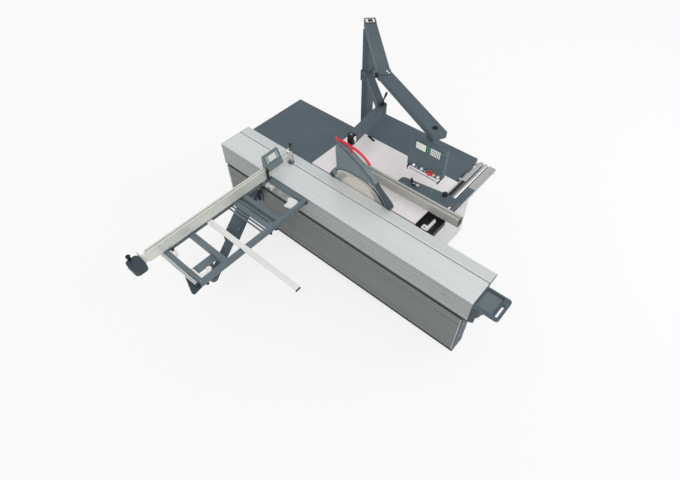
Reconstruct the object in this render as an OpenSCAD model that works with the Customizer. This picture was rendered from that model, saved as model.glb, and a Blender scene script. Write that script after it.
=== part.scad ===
// Sliding table saw: cabinet with tilting saw unit, long sliding carriage with outrigger and crosscut fence,
// rip fence on a round bar, overhead guard and swivelling control panel.
// X points to the rip side, Y along the feed direction to the rear, Z up. The origin is on the floor,
// under the blade's arbor. Where a comment names no other place, a distance to the left or right is
// measured, and one to the front or rear.

/* [Table] */
// Height of the table surface over the floor
top_z = 900; // [840:5:960]
// Left edge of the cast table
table_x0 = 6; // [5:1:12]
// Width of the cast table
table_w = 703; // [640:1:720]
// Distance of the cast table's front edge
table_front = 655; // [620:5:656]
// Distance of the cast table's rear edge
table_rear = 600; // [560:5:640]
// Depth of the cast table's rim
table_rim = 60; // [50:5:70]
// Thickness of the cast table's top
table_skin = 22; // [16:1:30]

/* [Extension tables] */
// Length of the rear extension table behind the cast table
rear_table_l = 852; // [600:10:900]
// Width of the rear extension table
rear_table_w = 728; // [600:10:760]
// Width of the rip-side extension table
rip_table_w = 419; // [300:5:480]
// Distance of the rip-side extension's front edge
rip_table_front = 624; // [560:5:630]
// Distance of the rip-side extension's rear edge
rip_table_rear = 565; // [500:5:590]
// Depth of the folded edges of the extension tables
fold_h = 40; // [25:1:50]

/* [Cabinet] */
// Distance of the cabinet's left wall
cab_left = 238; // [236:1:240]
// Distance of the cabinet's right wall
cab_right = 949; // [900:5:960]
// Distance of the cabinet's front wall
cab_front = 714; // [700:2:730]
// Distance of the cabinet's rear wall
cab_rear = 600; // [570:5:620]
// Sheet thickness of the cabinet
sheet = 4; // [3:0.5:6]
// Radius of the anchor holes in the floor plate
anchor_r = 9; // [6:0.5:12]
// Width of the service door
door_w = 620; // [400:10:700]
// Height of the service door
door_h = 560; // [400:10:620]
// Outside radius of the dust outlet
dust_r = 60; // [50:5:80]
// Free length of the dust outlet
dust_l = 90; // [60:5:120]

/* [Sliding carriage] */
// Length of the carriage
car_l = 3000; // [2600:50:3200]
// Width of the carriage
car_w = 380; // [370:1:390]
// Gap between the carriage and the blade's plane
car_gap = 12; // [11:0.5:14]
// Distance of the carriage's front end at rest
car_front = 1480; // [1300:10:1600]
// Depth of the carriage's side face
car_side = 250; // [240:2:254]
// Width of the carriage's deep beam
beam_w = 144; // [136:1:150]
// Thickness of the carriage's top
car_t = 42; // [38:1:50]
// Thickness of the carriage's strip beside the blade
strip_t = 24; // [20:1:26]
// Distance of the slot
tslot_x = 130; // [124:1:150]
// Width of the slot's mouth
tslot_w = 12; // [8:1:14]
// Number of grooves along the carriage's side face
side_grooves = 8; // [4:1:12]
// Radius of the carriage's rounded nose
nose_r = 70; // [60:1:72]
// Length of the handle tray
tray_l = 222; // [180:2:260]
// Width of the handle tray
tray_w = 232; // [200:2:260]

/* [Carriage bed] */
// Width of the bed beam
bed_w = 160; // [150:1:164]
// Height of the bed beam's underside over the floor
bed_z0 = 105; // [80:5:140]
// Gap between the bed beam and the carriage's side face
bed_gap = 10; // [6:1:14]
// Length of the bed beam
bed_l = 2924; // [2600:4:3000]
// Distance of the bed beam's front end
bed_front = 1444; // [1300:4:1460]
// Height of the guide rail over the bed
rail_h = 50; // [44:1:54]
// Diameter of the rollers in the cage
roller_d = 27.4; // [24:0.2:30]
// Pitch of the rollers along the cage
roller_pitch = 160; // [120:10:240]
// Length of the roller cage
cage_l = 1800; // [1600:20:1840]

/* [Saw unit] */
// Radius of the saw blade
blade_r = 225; // [219:1:228]
// Height of the blade's top over the table
blade_up = 145; // [120:1:148]
// Thickness of the blade's plate
blade_t = 2.8; // [2.2:0.1:3.4]
// Width of the blade's cutting tips
kerf = 4; // [3.4:0.1:4.4]
// Number of teeth on the blade
teeth = 48; // [24:4:72]
// Radius of the spindle
spindle_r = 15; // [12:0.5:18]
// Radius of the blade's clamping flanges
flange_r = 30; // [26:1:32]
// Length of the spindle from the blade to its pulley
spindle_l = 150; // [140:5:170]
// Radius of the spindle's pulley
pulley_r = 40; // [34:1:42]
// Radius of the motor's pulley
mpulley_r = 60; // [50:1:64]
// Width of both pulleys
pulley_w = 32; // [26:1:36]
// Radius of the motor
motor_r = 92; // [80:1:96]
// Length of the motor
motor_l = 240; // [200:5:260]
// Height of the motor's axis under the arbor
motor_drop = 230; // [220:2:240]
// Distance of the motor's axis
motor_fore = 40; // [20:2:60]
// Radius of the lift rods
rod_r = 16; // [14:0.5:18]
// Distance of each lift rod
rod_y = 150; // [140:2:160]
// Distance of the lift rods
rod_x = 96; // [90:1:104]
// Distance of the tilt brackets
tilt_y = 360; // [350:2:380]
// Mean radius of the curved tilt guides
tilt_r = 150; // [144:1:156]
// Width of the curved tilt guides
tilt_w = 20; // [16:1:24]
// Thickness of each tilt bracket
tilt_t = 24; // [20:1:30]
// Radius of the scoring blade
score_r = 50; // [46:1:53]
// Distance of the scoring blade's axis
score_fore = 283; // [282:1:288]

/* [Outrigger] */
// Distance of the outrigger's outer rail
out_reach = 1643; // [1500:5:1700]
// Distance of the outrigger's front edge
out_front = 285; // [260:5:300]
// Depth of the outrigger along the feed direction
out_depth = 550; // [540:5:600]
// Width of the outrigger's tubes
tube_w = 40; // [34:1:44]
// Height of the outrigger's tubes
tube_h = 50; // [40:1:56]
// Depth of the outrigger's tubes under the table surface
tube_drop = 15; // [14:0.5:18]
// Distance of the middle cross tube
mid_x = 1331; // [1290:5:1360]
// Distance of the slats' outer edge
slats_x = 938; // [930:1:960]
// Width over all slats
slats_w = 222; // [216:1:236]
// Diameter of the support roller
roll_d = 32; // [28:1:34]
// Distance of the support bar's outer edge
bar_x = 1190; // [1160:2:1220]
// Width of the support bar
bar_w = 52; // [40:1:56]
// Thickness of the support bar
bar_t = 12; // [8:0.5:13]
// Distance of the support bar's front end
bar_front = 343; // [250:5:400]
// Depth of the end plate under the support bar
hook_h = 16; // [10:1:30]

/* [Swing arm] */
// Distance of the swing arm's pivot from the bed beam's side
arm_off = 88; // [84:1:96]
// Distance of the swing arm's pivot
arm_y = 1000; // [960:5:1040]
// Width of the swing arm's outer tube
arm_w = 140; // [120:2:144]
// Height of the swing arm's outer tube
arm_h = 70; // [60:1:74]
// Length of the swing arm's outer tube from its pivot
arm_outer_l = 640; // [600:5:680]
// Insertion point of the inner tube, measured from the pivot
arm_in = 170; // [160:5:200]
// Distance of the swing arm's tip
tip_x = 1445; // [1420:5:1470]
// Distance of the swing arm's tip
tip_y = 455; // [440:5:480]
// Radius of the swing arm's pivot pin
arm_pin_r = 15; // [12:0.5:18]
// Gap under the carriage's side face to the swing arm's top
arm_drop = 5; // [4:0.5:8]

/* [Crosscut fence] */
// Distance of the fence's working face
fence_y = 771; // [765:1:780]
// Left end of the fence,
fence_left = 1780; // [1600:10:1800]
// Right end of the fence,
fence_right = 90; // [84:1:100]
// Thickness of the fence
fence_w = 45; // [42:1:50]
// Height of the fence
fence_h = 112; // [106:1:120]
// Insertion length of the fence's extension
ext_l = 880; // [800:10:1000]
// Distance of the extension's end plate from the fence's end
ext_out = 40; // [34:1:60]
// Width of the stop with its readout
stop_w = 192; // [170:2:200]
// Distance of the stop's right side
stop_x = 243; // [230:1:260]
// Height of the stop's housing over the fence
stop_h = 124; // [100:2:130]
// Length of the fence's end housing
cover_l = 118; // [100:2:130]

/* [Rip fence] */
// Distance of the rip fence's face
ripf_x = 205; // [200:1:212]
// Width of the rip fence's profile
ripf_w = 66; // [60:1:70]
// Height of the rip fence's profile
ripf_h = 85; // [80:1:90]
// Length of the rip fence's profile
ripf_l = 1175; // [1000:5:1200]
// Distance of the rip fence's front end
ripf_front = 960; // [930:5:1000]
// Radius of the round guide bar
gbar_r = 22.5; // [20:0.5:24]
// Distance of the guide bar's axis
gbar_y = 728; // [724:1:732]
// Left end of the rip rail,
rail_x0 = 222; // [218:1:226]
// Right end of the rip rail,
rail_x1 = 1130; // [1000:5:1140]
// Distance of the rip rail's front edge
rail_front = 834; // [820:1:840]
// Height of the rip fence carrier's casting
carr_h = 47; // [40:1:54]

/* [Guard] */
// Height of the guard's opening over the arbor
hood_r = 252; // [248:1:256]
// Thickness of the guard's hood
hood_w = 52; // [46:1:60]
// Thickness of the guard's red handle
grip_r = 12; // [10:0.5:14]
// Height of the guard arm's pivots over the table
garm_z = 505; // [490:5:520]
// Width of the guard arm
garm_w = 70; // [60:1:76]
// Height of the guard arm
garm_h = 90; // [80:1:94]

/* [Column and arms] */
// Distance of the column's centre
col_x = 967; // [960:1:975]
// Distance of the column's centre
col_y = 679; // [670:1:700]
// Width of the column
col_w = 110; // [100:2:124]
// Depth of the column
col_d = 76; // [70:2:90]
// Height of the column
col_h = 1880; // [1800:10:1900]
// Length of the upper arm between its pivots
uarm_l = 866; // [840:2:900]
// Length of the forearm between its pivots
farm_l = 815; // [790:5:830]
// Height of both arms
parm_h = 70; // [60:1:74]
// Width of the forearm
farm_w = 110; // [100:1:116]
// Direction of the upper arm in degrees from the X axis
uarm_dir = 226.4; // [225:0.2:229]
// Direction of the forearm in degrees from the X axis
farm_dir = 244.3; // [242:0.1:246]
// Width of the control panel
pan_w = 310; // [280:2:320]
// Height of the control panel
pan_h = 260; // [230:2:280]
// Thickness of the control panel
pan_t = 46; // [36:1:50]

/* [Hidden] */
$fn = 48;

// Colours
slate = [0.33, 0.38, 0.41];
pale = [0.80, 0.82, 0.81];
iron = [0.87, 0.85, 0.85];
bed_grey = [0.44, 0.46, 0.45];
black = [0.08, 0.08, 0.09];
steel = [0.70, 0.71, 0.73];
chrome = [0.85, 0.86, 0.88];
white = [0.93, 0.93, 0.92];
red = [0.85, 0.22, 0.26];
clear = [0.75, 0.88, 0.92, 0.4];

// Walls, plays and small sizes
table_rib = 12;
table_joint = 2;
fold_t = 4;
floor_t = 8;
anchor_inset = 70;
beam_t = 8;
cap_t = 4;
bed_t = 5;
roller_play = 0.6;
tube_t = 3;
arm_t = 7;
arm_play = 0.6;
fence_gap = 0.5;
ball_r = 17;
run = 0.05;
clear_t = 3;
mid_w = 50;
tray_h = 34;
rail_w = 46;

// Clearance between curved faces of moving bodies
gap = 0.3;
// Depth that cutters run past a face
past = 1;

// Table and cabinet
table_x1 = table_x0 + table_w;
cab_top = top_z - table_rim;
feet_h = 30;
cab_floor = feet_h + floor_t;
door_t = 18;
door_lap = 20;
door_z = 150;
door_y1 = 60;
hinge_r = 7;
hinge_x = cab_right + door_t;
hinge_y = door_y1 + 12;
hinge_h = 60;
hinge_z = [door_z + 60, door_z + door_h - 120];

// Outlet, feet and stow tray
dust_x = 300;
dust_z = 230;
foot_r = 45;
foot_x = [-cab_left + 60, cab_right - 60];
foot_y = [-cab_front + 60, cab_rear - 60];
tray_x0 = -car_gap + 8;
tray_x1 = 215;
stow_front = 842;
stow_rear = table_front + 5;
stow_t = 3;

// Places of the carriage and its bed
car_x0 = -(car_gap + car_w);
car_x1 = -car_gap;
car_y0 = -car_front;
car_y1 = car_y0 + car_l;
car_z0 = top_z - car_side;
beam_x1 = car_x0 + beam_w;
beam_xc = car_x0 + beam_w / 2;
pad_t = 6;
bed_x1 = -cab_left - pad_t;
bed_x0 = bed_x1 - bed_w;
bed_y0 = -bed_front;
bed_y1 = bed_y0 + bed_l;
bed_z1 = car_z0 - bed_gap;
rail_z1 = bed_z1 + rail_h;
track = roller_d + roller_play;
channel_w = rail_w + 2 * track;
web_z = rail_z1 + track;
web_t = 8;
cage_yc = (bed_y0 + bed_y1) / 2;
nut_w = 2 * tslot_w;

// Saw unit
arbor_z = top_z + blade_up - blade_r;
motor_z = arbor_z - motor_drop;
pulley_x = spindle_l;
flange_t = 7;
mplate_x = pulley_x + pulley_w + 4;
mplate_t = 10;
frame_y = tilt_y - tilt_t / 2 - 2;
frame_x0 = 40;
frame_x1 = 150;
frame_top = arbor_z + 34;
frame_bar = 14;
fplate_t = 16;
lift_travel = 150;
sleeve_r = rod_r + 12;
sleeve_h = 120;
frame_low = arbor_z + 30 - sleeve_h - lift_travel - 20;
score_z = top_z + 2 - score_r;
insert_x1 = 70;
insert_y = tilt_y - 20;
insert_t = 12;
insert_ledge = 12;

// Outrigger
out_x0 = -out_reach;
out_y0 = out_front;
out_y1 = out_front + out_depth;
tube_z1 = top_z - tube_drop;
tube_z0 = tube_z1 - tube_h;
roll_x = out_x0 - 4 - roll_d / 2;
roll_z = top_z - 0.5 - roll_d / 2;
roll_axle_r = 6;
roll_y0 = out_y0 + 24;
roll_y1 = out_y1 - 40;
ear_t = 9;

// Swing arm
arm_x = bed_x0 - arm_off;
arm_z1 = car_z0 - arm_drop;
arm_z0 = arm_z1 - arm_h;
arm_len = norm([-tip_x - arm_x, tip_y - arm_y]);
arm_dir = atan2(tip_y - arm_y, -tip_x - arm_x);
inner_w = arm_w / 2;
post_r = 22;
hanger_z = car_z0 + 100;

// Crosscut fence
fence_z0 = top_z + fence_gap;
fence_z1 = fence_z0 + fence_h;
fence_y1 = fence_y + fence_w;
fence_t = 6;
fence_pivot_y = fence_y - 11;
ext_z0 = fence_z0 + 10;
ext_z1 = fence_z0 + 88;
cover_x1 = -fence_left - ext_out;

// Rip fence
bar_z = top_z - 38;
rail_low = bar_z - gbar_r - 18;
rail_z1b = top_z - 20;
carr_z0 = top_z + 1;
carr_z1 = carr_z0 + carr_h;
carr_x0 = ripf_x + ripf_w + 1;
lever_x = carr_x0 + 86;
lever_y = -382;

// Guard
hood_x0 = -20;
hood_x1 = hood_x0 + hood_w;
garm_zc = top_z + garm_z;
mast_x = hood_x1 + 22;
mast_y = 134;
mast_r = 12;
knee = [575, 200];
flap_z = arbor_z + hood_r + 23;

// Column and arms
parm_z = col_h;
elbow = [col_x + uarm_l * cos(uarm_dir), col_y + uarm_l * sin(uarm_dir)];
head = [elbow[0] + farm_l * cos(farm_dir), elbow[1] + farm_l * sin(farm_dir)];
lip_t = 8;
arm_pivot_r = 14;
farm_z0 = parm_z + lip_t + 0.5;
farm_z1 = parm_z + parm_h - lip_t - 0.5;
pan_x1 = head[0] - 74;
pan_x0 = pan_x1 - pan_t;
pan_y0 = head[1] - 187;
pan_y1 = pan_y0 + pan_w;
pan_z1 = parm_z - 4;
pan_z0 = pan_z1 - pan_h;
stop_y = pan_y0 + 102;
stop_z = pan_z0 + 28;
stop_r = 14;
stop_travel = 5;

// Box between two corners
module bx(x0, x1, y0, y1, z0, z1) {
  translate([x0, y0, z0]) cube([x1 - x0, y1 - y0, z1 - z0]);
}

// Round bar along X, Y or Z
module cx(x0, x1, y, z, r) {
  translate([x0, y, z]) rotate([0, 90, 0]) cylinder(r = r, h = x1 - x0);
}
module cy(x, y0, y1, z, r) {
  translate([x, y0, z]) rotate([-90, 0, 0]) cylinder(r = r, h = y1 - y0);
}
module cz(x, y, z0, z1, r) {
  translate([x, y, z0]) cylinder(r = r, h = z1 - z0);
}

// Profile drawn in X and Z, run along Y
module along_y(y0, y1) {
  translate([0, y1, 0]) rotate([90, 0, 0]) linear_extrude(y1 - y0) children();
}

// Profile drawn in Y and Z, run along X
module along_x(x0, x1) {
  translate([x0, 0, 0]) rotate([90, 0, 90]) linear_extrude(x1 - x0) children();
}

// Plan drawn in X and Y, raised along Z
module along_z(z0, z1) {
  translate([0, 0, z0]) linear_extrude(z1 - z0) children();
}

// Flat rectangle between two corners
module rect(x0, x1, y0, y1) {
  translate([x0, y0]) square([x1 - x0, y1 - y0]);
}

// Flat rectangle with round corners
module rrect(x0, x1, y0, y1, r) {
  rect(x0 + r, x1 - r, y0, y1);
  rect(x0, x1, y0 + r, y1 - r);
  for (x = [x0 + r, x1 - r], y = [y0 + r, y1 - r])
    translate([x, y]) circle(r = r);
}

// Square tube along X or Y
module tube_x(x0, x1, y0, y1, z0, z1, t) {
  difference() {
    bx(x0, x1, y0, y1, z0, z1);
    bx(x0 - past, x1 + past, y0 + t, y1 - t, z0 + t, z1 - t);
  }
}
module tube_y(x0, x1, y0, y1, z0, z1, t) {
  difference() {
    bx(x0, x1, y0, y1, z0, z1);
    bx(x0 + t, x1 - t, y0 - past, y1 + past, z0 + t, z1 - t);
  }
}

// Part of a flat ring between two angles, measured from straight down
module ring_part(r0, r1, a0, a1) {
  reach = 2 * r1;
  intersection() {
    difference() {
      circle(r = r1, $fn = 96);
      circle(r = r0, $fn = 96);
    }
    polygon([[0, 0], reach * [sin(a0), -cos(a0)], reach * [sin((a0 + a1) / 2), -cos((a0 + a1) / 2)],
      reach * [sin(a1), -cos(a1)]]);
  }
}

// Folded extension table: a top sheet with edges turned down
module folded_top(x0, x1, y0, y1) {
  difference() {
    bx(x0, x1, y0, y1, top_z - fold_h, top_z);
    bx(x0 + fold_t, x1 - fold_t, y0 + fold_t, y1 - fold_t, top_z - fold_h - past, top_z - fold_t);
  }
}

// Star knob with a stud above it
module star_knob(x, y, z0, z1, r) {
  lobes = 6;
  difference() {
    cz(x, y, z0, z1, r);
    for (i = [0:lobes - 1])
      cz(x + 1.15 * r * cos(360 * i / lobes), y + 1.15 * r * sin(360 * i / lobes), z0 - past, z1 + past,
        r / 3.2);
  }
}

module cabinet() {
  beam_h = 50;
  color(pale) difference() {
    union() {
      difference() {
        bx(-cab_left, cab_right, -cab_front, cab_rear, feet_h, cab_top);
        bx(-cab_left + sheet, cab_right - sheet, -cab_front + sheet, cab_rear - sheet, cab_floor,
          cab_top + past);
      }
      // Cross members under the front and rear rims of the cast table
      bx(-cab_left + sheet, cab_right - sheet, -cab_front + sheet, -table_front + 30, cab_top - beam_h,
        cab_top);
      bx(-cab_left + sheet, cab_right - sheet, cab_rear - 40, cab_rear - sheet, cab_top - beam_h, cab_top);
    }
    bx(-cab_left + 40, cab_right - 40, -cab_front + 2 * sheet, -table_front + 30 - sheet,
      cab_top - beam_h - past, cab_top - sheet);
    for (x = [-cab_left + anchor_inset, cab_right - anchor_inset],
      y = [-cab_front + anchor_inset + 60, cab_rear - anchor_inset - 60])
      cz(x, y, feet_h - past, cab_floor + past, anchor_r);
    bx(cab_right - sheet - past, cab_right + past, door_y1 - door_w + door_lap, door_y1 - door_lap,
      door_z + door_lap, door_z + door_h - door_lap);
    cy(dust_x, cab_rear - sheet - past, cab_rear + past, dust_z, dust_r - sheet);
    // Step in the front wall that carries the rip rail
    bx(rail_x0, cab_right + past, -cab_front - past, -table_front, rail_low, cab_top + past);
  }
  // Pins and lugs of the door's hinges
  color(steel)
    for (z = hinge_z) {
      cz(hinge_x, hinge_y, z - 12, z + hinge_h + 12, 4);
      for (lug_z = [z - 12, z + hinge_h + 2])
        bx(cab_right, hinge_x, hinge_y - 4, hinge_y + 4, lug_z, lug_z + 10);
    }
}

// One foot pad with its stud
module foot(x, y) {
  cz(x, y, 0, 12, foot_r);
  cz(x, y, 12, feet_h, 14);
}

module levelling_feet() {
  color(black) {
    for (x = foot_x, y = foot_y)
      foot(x, y);
    foot(0, 0);
  }
}

module cast_table() {
  rib_y = [-tilt_y, tilt_y];
  bay_x = frame_x1 + 210;
  color(iron) difference() {
    union() {
      bx(table_x0, table_x1, -table_front, table_rear, top_z - table_skin, top_z);
      // Rim all round
      difference() {
        bx(table_x0, table_x1, -table_front, table_rear, cab_top, top_z - table_skin);
        bx(table_x0 + table_rib, table_x1 - table_rib, -table_front + 2 * table_rib,
          table_rear - 2 * table_rib, cab_top - past, top_z);
      }
      // Cross ribs that carry the tilt brackets
      for (y = rib_y)
        bx(table_x0 + table_rib, table_x1 - table_rib, y - tilt_t / 2, y + tilt_t / 2, cab_top,
          top_z - table_skin);
      // Long ribs on the right of the saw unit
      for (x = [bay_x, (bay_x + table_x1) / 2])
        bx(x, x + table_rib, -tilt_y + tilt_t / 2, tilt_y - tilt_t / 2, cab_top + 12, top_z - table_skin);
    }
    // Recess for the insert, with a ledge along its right side and its ends
    bx(table_x0 - past, insert_x1, -insert_y, insert_y, top_z - insert_t, top_z + past);
    bx(table_x0 - past, insert_x1 - insert_ledge, -insert_y + insert_ledge, insert_y - insert_ledge,
      cab_top - past, top_z);
    // Notch that the tilting frame's corners pass
    bx(table_x0 - past, table_x0 + table_rib + past, -tilt_y + tilt_t / 2, tilt_y - tilt_t / 2, cab_top - past,
      cab_top + 16);
  }
}

module table_insert() {
  screw_r = 4;
  color(steel) difference() {
    bx(table_x0, insert_x1, -insert_y, insert_y, top_z - insert_t, top_z);
    for (y = [-insert_y + 25 : (insert_y - 25) / 2 : insert_y - 20])
      cz(insert_x1 - 6, y, top_z - insert_t - past, top_z + past, screw_r);
  }
}

module stow_tray() {
  color(black) difference() {
    along_z(cab_top, cab_top + table_rim) rrect(tray_x0, tray_x1, -stow_front, -stow_rear, 8);
    along_z(cab_top + stow_t, top_z + table_rim)
      rrect(tray_x0 + stow_t, tray_x1 - stow_t, -stow_front + stow_t, -stow_rear - stow_t, 6);
  }
}

module push_stick() {
  stick_w = 28;
  stick_l = 170;
  y = (-stow_front - stow_rear) / 2;
  color(white) translate([tray_x0 + 38, y, cab_top]) along_z(stow_t, stow_t + 16) difference() {
    union() {
      rrect(0, stick_l, -stick_w / 2, stick_w / 2, 12);
      rrect(0, 56, -stick_w / 2, 52, 12);
    }
    translate([28, 30]) circle(r = 11);
    polygon([[stick_l - 24, -stick_w], [stick_l + 9, -stick_w], [stick_l + 9, 2], [stick_l - 14, 2]]);
  }
}

rear_x0 = -car_gap + 4;
rear_y0 = table_rear + table_joint;

module rear_extension_table() {
  color(slate) folded_top(rear_x0, rear_x0 + rear_table_w, rear_y0, rear_y0 + rear_table_l);
}

rip_x0 = table_x1 + table_joint;

module rip_extension_table() {
  color(slate) folded_top(rip_x0, rip_x0 + rip_table_w, -rip_table_front, rip_table_rear);
}

// Triangular gusset drawn from a wall outwards
module gusset(reach, drop) {
  polygon([[0, 0], [reach, 0], [reach, -12], [12, -drop], [0, -drop]]);
}

module table_struts() {
  gusset_t = 6;
  side_reach = rip_x0 + rip_table_w - cab_right - 20;
  under = top_z - fold_h;
  color(slate) {
    for (y = [-rip_table_front + 4, rip_table_rear - 40])
      translate([cab_right, y + gusset_t, under]) rotate([90, 0, 0])
        linear_extrude(gusset_t) gusset(side_reach, 220);
    for (x = [rear_x0 + 60, rear_x0 + rear_table_w - 60])
      translate([x, cab_rear, under]) rotate([90, 0, 90])
        linear_extrude(gusset_t) gusset(rear_table_l - 120, 320);
  }
}

bar_seat_w = 16;
rail_wall = 12;
well_y0 = -gbar_y - gbar_r - 6;
well_y1 = -gbar_y + gbar_r + 6;

// Section of the rip rail in Y and Z
module rail_section() {
  difference() {
    union() {
      rect(-rail_front, well_y0, rail_z1b - 26, rail_z1b);
      rect(well_y0 - rail_wall, well_y1 + rail_wall, rail_low, rail_z1b - 26);
      rect(well_y1, -table_front, rail_z1b - 26, rail_z1b);
    }
    rect(well_y0, well_y1, rail_low + rail_wall, rail_z1b + past);
    for (y = [-rail_front + 10 : 12 : well_y0 - 10])
      rect(y, y + 4, rail_z1b - 2, rail_z1b + past);
    rect(-rail_front + 8, well_y0 - 8, rail_z1b - 20, rail_z1b - 8);
  }
}

module rip_rail() {
  low = rail_low + rail_wall;
  seats = 5;
  pitch = (rail_x1 - rail_x0 - 80) / (seats - 1);
  color(steel) {
    along_x(rail_x0, rail_x1) rail_section();
    // Saddles under the round bar
    for (i = [0:seats - 1])
      difference() {
        bx(rail_x0 + 30 + i * pitch, rail_x0 + 50 + i * pitch, -gbar_y - bar_seat_w, -gbar_y + bar_seat_w,
          low, bar_z - gbar_r + 6);
        cx(rail_x0, rail_x1, -gbar_y, bar_z, gbar_r);
      }
    // Spacers to the rip-side extension
    for (x = [rip_x0 + 60, rail_x1 - 60])
      bx(x, x + 30, -table_front, -rip_table_front, rail_z1b - 26, rail_z1b);
  }
}

module rip_guide_bar() {
  color(chrome) cx(rail_x0, rail_x1, -gbar_y, bar_z, gbar_r);
}

module rip_rail_covers() {
  cover_t = 1.5;
  color(slate) bx(rail_x0 + 146, rail_x0 + 512, -rail_front + 2, well_y0 - 2, rail_z1b, rail_z1b + cover_t);
  color(black) bx(rail_x0 + 294, rail_x0 + 560, well_y1 + 2, -table_front - 8, rail_z1b, rail_z1b + cover_t);
}

module bed_beam() {
  shelves = 2;
  cell_h = (bed_z1 - bed_z0) / (shelves + 1);
  color(bed_grey) {
    along_y(bed_y0, bed_y1) difference() {
      rect(bed_x0, bed_x1, bed_z0, bed_z1);
      for (i = [0:shelves])
        rect(bed_x0 + bed_t, bed_x1 - bed_t, bed_z0 + i * cell_h + bed_t, bed_z0 + (i + 1) * cell_h
          - (i == shelves ? bed_t : 0));
      // Long beads pressed into the outer side
      for (z = [bed_z0 + cell_h / 2, bed_z1 - cell_h / 2])
        rect(bed_x0 - past, bed_x0 + 2, z - 4, z + 4);
    }
    // Pads towards the cabinet
    for (y = [-cab_front + 60, cab_rear - 160])
      bx(bed_x1, bed_x1 + pad_t, y, y + 100, bed_z0 + 60, bed_z1 - 60);
  }
}

module bed_end_caps() {
  end_t = 10;
  color(slate) {
    bx(bed_x0, bed_x1, bed_y0 - end_t, bed_y0, bed_z0, bed_z1);
    bx(bed_x0, bed_x1, bed_y1, bed_y1 + end_t, bed_z0, bed_z1);
  }
}

module bed_guide_rail() {
  groove = 3;
  color(steel) along_y(bed_y0, bed_y1) difference() {
    rect(beam_xc - rail_w / 2, beam_xc + rail_w / 2, bed_z1, rail_z1);
    rect(beam_xc - 8, beam_xc + 8, rail_z1 - groove, rail_z1 + past);
  }
}

groove_a = 48;
runner_a = 45;

module tilt_brackets() {
  half_w = (tilt_r + tilt_w / 2) * sin(groove_a) + 8;
  low = top_z - tilt_r - tilt_w / 2 - 18;
  color(iron)
    for (y = [-tilt_y, tilt_y])
      along_y(y - tilt_t / 2, y + tilt_t / 2) difference() {
        rect(-half_w, half_w, low, cab_top);
        translate([0, top_z])
          ring_part(tilt_r - tilt_w / 2, tilt_r + tilt_w / 2, -groove_a, groove_a);
        for (x = [-half_w + 14, half_w - 14])
          translate([x, low + 14]) circle(r = 5);
      }
}

module swing_pivot_bracket() {
  plate_t = 12;
  low = arm_z0 - 1 - plate_t;
  lug_r = arm_w / 2 - 12;
  head_h = 3;
  color(slate) {
    // Shelf under the arm
    difference() {
      union() {
        cz(arm_x, arm_y, low, arm_z0 - 1, lug_r);
        bx(arm_x, bed_x0, arm_y - lug_r, arm_y + lug_r, low, arm_z0 - 1);
      }
      cz(arm_x, arm_y, arm_z0 - 2 - plate_t, arm_z0, arm_pin_r);
    }
    bx(bed_x0 - plate_t, bed_x0, arm_y - lug_r, arm_y + lug_r, arm_z0 - 120, low);
    translate([0, arm_y + 6, 0]) along_y(-12, 0) polygon([[bed_x0 - plate_t, low],
      [arm_x, low], [bed_x0 - plate_t, arm_z0 - 110]]);
  }
  color(steel) {
    cz(arm_x, arm_y, low, arm_z1 + 0.5, arm_pin_r);
    cz(arm_x, arm_y, arm_z1 + 0.5, arm_z1 + 0.5 + head_h, arm_pin_r + 5);
  }
}

col_x0 = col_x - col_w / 2;
col_x1 = col_x + col_w / 2;
col_y0 = col_y - col_d / 2;
col_y1 = col_y + col_d / 2;

module column() {
  foot_t = 16;
  foot_w = 240;
  col_t = 5;
  color(slate) {
    difference() {
      union() {
        bx(col_x0, col_x1, col_y0, col_y1, foot_t, col_h);
        bx(col_x - foot_w / 2, col_x + foot_w / 2, col_y0 - 25, col_y1 + 75, 0, foot_t);
      }
      bx(col_x0 + col_t, col_x1 - col_t, col_y0 + col_t, col_y1 - col_t, foot_t, col_h - 2 * col_t);
      for (x = [col_x - foot_w / 2 + 22, col_x + foot_w / 2 - 22], y = [col_y0 - 3, col_y1 + 53])
        cz(x, y, -past, foot_t + past, 7);
    }
    // Pivot for the upper arm
    cz(col_x, col_y, col_h, col_h + parm_h - 12, arm_pivot_r + 16);
    // Lugs to the cabinet's rear wall
    for (z = [260, 640])
      bx(col_x0, cab_right, cab_rear, col_y0, z, z + 60);
  }
}

module dust_outlet() {
  flange_t = 4;
  color(black) difference() {
    union() {
      cy(dust_x, cab_rear, cab_rear + dust_l, dust_z, dust_r);
      cy(dust_x, cab_rear, cab_rear + flange_t, dust_z, dust_r + 22);
    }
    cy(dust_x, cab_rear - past, cab_rear + dust_l + past, dust_z, dust_r - sheet);
    for (a = [45:90:315])
      cy(dust_x + (dust_r + 12) * cos(a), cab_rear - past, cab_rear + flange_t + past,
        dust_z + (dust_r + 12) * sin(a), 3);
  }
}

boom_dir = atan2(knee[1] - col_y, knee[0] - col_x);
boom_l = norm([knee[0] - col_x, knee[1] - col_y]);
garm_dir = atan2(mast_y - knee[1], mast_x - knee[0]);
garm_l = norm([mast_x - knee[0], mast_y - knee[1]]);
garm_z0 = garm_zc - garm_h / 2;
garm_z1 = garm_zc + garm_h / 2;
clamp_r = 34;
knee_r = 46;

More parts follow.
